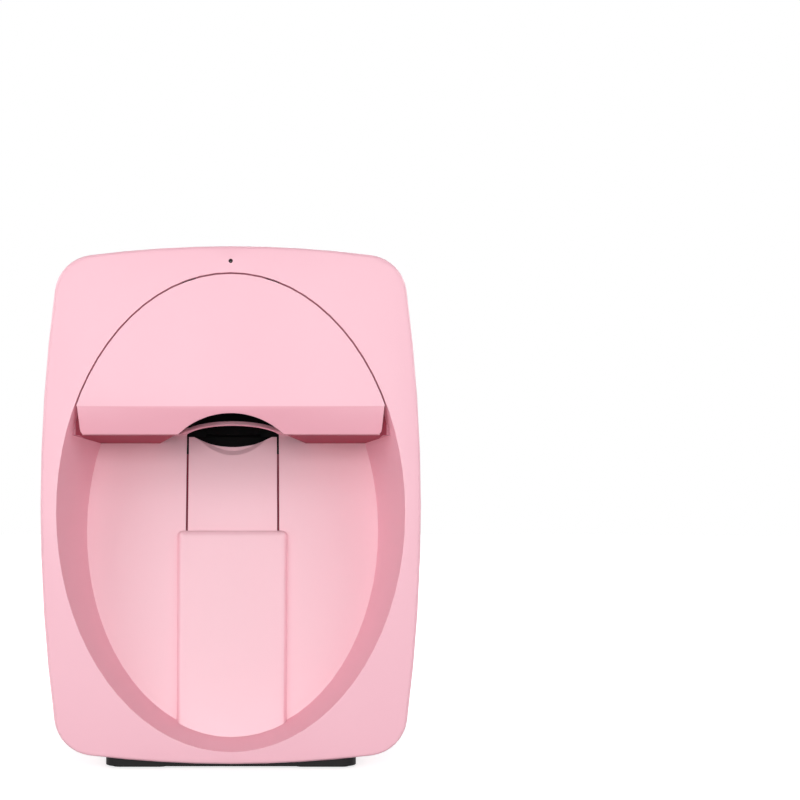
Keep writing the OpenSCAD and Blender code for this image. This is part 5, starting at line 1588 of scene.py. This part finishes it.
@dataclass
class Fasteners:
    """Cross-headed screws, cut and repeated by one tree.

    Attributes:
        slot: Width of the cross's bars, in millimetres.
        depth: Depth of the cross.
        reach: Length of the cross's bars.
    """

    slot: float = 0.75
    depth: float = 1.15
    reach: float = 3.3

    def build(self) -> None:
        """Makes the housing's four screws and the chassis's four."""
        self._set("housing_screws", BODY)
        self._set("chassis_screws", SLOPED)

    def _set(self, node: str, place: Matrix) -> None:
        """The screws of one node, two to a row."""
        box = Extent.of(node, place)
        rows = []
        for high in (False, True):
            level = Extent.of(node, place, lambda p: (p.z > box.mid(2)) == high)
            left = Extent.of(node, place, lambda p: (p.z > box.mid(2)) == high and p.x < 0)
            r, face, z = left.size(0) / 2, left.high[1], level.mid(2)
            shank = 1.24
            turned = [
                (0, left.low[1]), (0.5, left.low[1]), (shank, left.low[1] + 1.0), (shank, face - 2.0),
                (r - 0.15, face - 2.0),
            ]
            turned += [
                (r, face - 1.85), (r, face - 1.0), (r * 0.93, face - 0.5), (r * 0.75, face - 0.15),
                (r * 0.5, face), (0, face),
            ]
            seed = Shape(LOOSE).lathe([(a, b - face) for a, b in turned], (0, 0, 0), count=40)
            rows.append(
                screw_tree().run(
                    seed.bm,
                    "plated_steel",
                    at(place, left.mid(0), face, z),
                    Slot=self.slot,
                    Depth=self.depth,
                    Reach=self.reach,
                    Count=2,
                    Step=(-2 * left.mid(0), 0, 0),
                )
            )
        Maker.keep(node + "_cross", rows, "plated_steel", "housing", node)


# ---- studio -------------------------------------------------------------------------------

# Each lamp's name, place, aim, size and power
LAMPS: tuple[tuple[str, Point, Point, float, float], ...] = (
    ("front", (-0.12, -2.6, 0.28), (0, 0, 0.14), 1.1, 24.6),
    ("left", (-1.1, -1.2, 0.6), (0, 0, 0.14), 0.9, 7.6),
    ("right", (1.1, -1.2, 0.6), (0, 0, 0.14), 0.9, 5.6),
    ("left_side", (-2.3, 0.9, 1.2), (0, 0, 0.14), 1.2, 17.0),
    ("right_side", (2.3, 0.9, 1.2), (0, 0, 0.14), 1.2, 17.0),
    ("rear", (0.3, 2.7, 0.9), (0, 0, 0.14), 1.2, 24.0),
)


@dataclass
class Studio:
    """Floor, backdrop, lamps and the photograph's camera.

    Attributes:
        eye: The camera's place in metres.
        frame_w: Width of the picture at the front face, in metres.
        centre: X and Z of the picture's centre at the front face.
        ambient: Strength of the world's light.
        glow: How white the floor looks beside the object, where its shadow shows.
    """

    eye: Point = (0.0145, -0.795, 0.144)
    frame_w: float = 0.44024
    centre: tuple[float, float] = (0.0932, 0.2032)
    ambient: float = 0.2
    glow: float = 0.72

    def build(self) -> None:
        """Makes the camera, the floor, the lamps and the world."""
        self._camera()
        self._floor()
        self._lamps()
        self._world()
        bpy.context.scene.view_settings.view_transform = "Standard"

    def _camera(self) -> None:
        """A level camera, shifted to the photograph's framing."""
        data = bpy.data.cameras.new("camera")
        cam = bpy.data.objects.new("camera", data)
        bpy.context.scene.collection.objects.link(cam)
        distance = CAD_BOX[0][1] - self.eye[1]
        data.sensor_width = 36.0
        data.lens = 36.0 * distance / self.frame_w
        data.shift_x = (self.centre[0] - self.eye[0]) / self.frame_w
        data.shift_y = (self.centre[1] - self.eye[2]) / self.frame_w
        data.clip_start, data.clip_end = 0.01, 50.0
        cam.location = self.eye
        cam.rotation_euler = (math.radians(90), 0, 0)
        bpy.context.scene.camera = cam

    def _floor(self) -> None:
        """A wide white floor that keeps the object's shadow where it is deep, close to the base."""
        bm = bmesh.new()
        bmesh.ops.create_circle(bm, cap_ends=True, segments=64, radius=6.0)
        mesh = bpy.data.meshes.new("floor")
        bm.to_mesh(mesh)
        bm.free()
        floor = Maker.link("floor", mesh)
        b = Bench("floor")
        path = b.tree.nodes.new("ShaderNodeLightPath")
        camera, glossy, through = (
            Sock(b, path.outputs[n]) for n in ("Is Camera Ray", "Is Glossy Ray", "Is Transmission Ray")
        )
        away = b.node("ShaderNodeVectorMath", {"operation": "LENGTH"}, {0: b.place()}, "Value").step(0.10, 0.22)
        seen = camera + glossy + through
        b.finish(
            Base_Color=(0.80, 0.80, 0.80),
            Roughness=0.95,
            Specular_IOR_Level=0.0,
            Emission_Color=b.mix(seen * (self.glow + (1 - self.glow) * away), (0.0, 0.0, 0.0), (1.0, 1.0, 1.0)),
            Emission_Strength=1.0,
        )
        floor.data.materials.append(b.material)

    def _lamps(self) -> None:
        """Soft boxes in front and above."""
        for name, place, aim, size, power in LAMPS:
            lamp = bpy.data.lights.new(name, "AREA")
            lamp.shape, lamp.size, lamp.energy = "SQUARE", size, power
            made = bpy.data.objects.new(name, lamp)
            bpy.context.scene.collection.objects.link(made)
            made.location = place
            made.rotation_euler = (Vector(aim) - Vector(place)).to_track_quat("-Z", "Y").to_euler()

    def _world(self) -> None:
        """A dim world that the camera and mirrors see as white."""
        world = bpy.data.worlds.new("studio")
        bpy.context.scene.world = world
        world.use_nodes = True
        nodes, links = world.node_tree.nodes, world.node_tree.links
        nodes.clear()
        out = nodes.new("ShaderNodeOutputWorld")
        mix = nodes.new("ShaderNodeMixShader")
        dim, white = nodes.new("ShaderNodeBackground"), nodes.new("ShaderNodeBackground")
        dim.inputs[0].default_value, dim.inputs[1].default_value = (1, 1, 1, 1), self.ambient
        white.inputs[0].default_value, white.inputs[1].default_value = (1, 1, 1, 1), 1.0
        path = nodes.new("ShaderNodeLightPath")
        first, second = nodes.new("ShaderNodeMath"), nodes.new("ShaderNodeMath")
        first.operation = second.operation = "MAXIMUM"
        links.new(path.outputs["Is Camera Ray"], first.inputs[0])
        links.new(path.outputs["Is Glossy Ray"], first.inputs[1])
        links.new(first.outputs[0], second.inputs[0])
        links.new(path.outputs["Is Transmission Ray"], second.inputs[1])
        links.new(second.outputs[0], mix.inputs[0])
        links.new(dim.outputs[0], mix.inputs[1])
        links.new(white.outputs[0], mix.inputs[2])
        links.new(mix.outputs[0], out.inputs[0])


def main() -> None:
    """Builds every part of the scene and reports it."""
    logging.basicConfig(level=logging.INFO, format="%(name)s: %(message)s")
    Maker.materials = {f.name: f.material() for f in FINISHES}
    Maker.slots = {s["node"]: s["material_slot"] for s in frame["record"]["subparts"]}
    Maker.bodies = {
        node: body for body, nodes in frame["record"]["behaviour"]["bodies"].items() for node in nodes
    }
    Studio().build()
    for node, piece in frame["nodes"].items():
        Maker.dress(piece, Maker.slots[node])
    for part in (
        Housing(), Frame(), ScrewDrive(), BeltDrive(), Carriage(), Electronics(), RearFittings(), Fasteners()
    ):
        LOG.info("building %s", type(part).__name__)
        part.build()


if __name__ == "__main__":
    main()
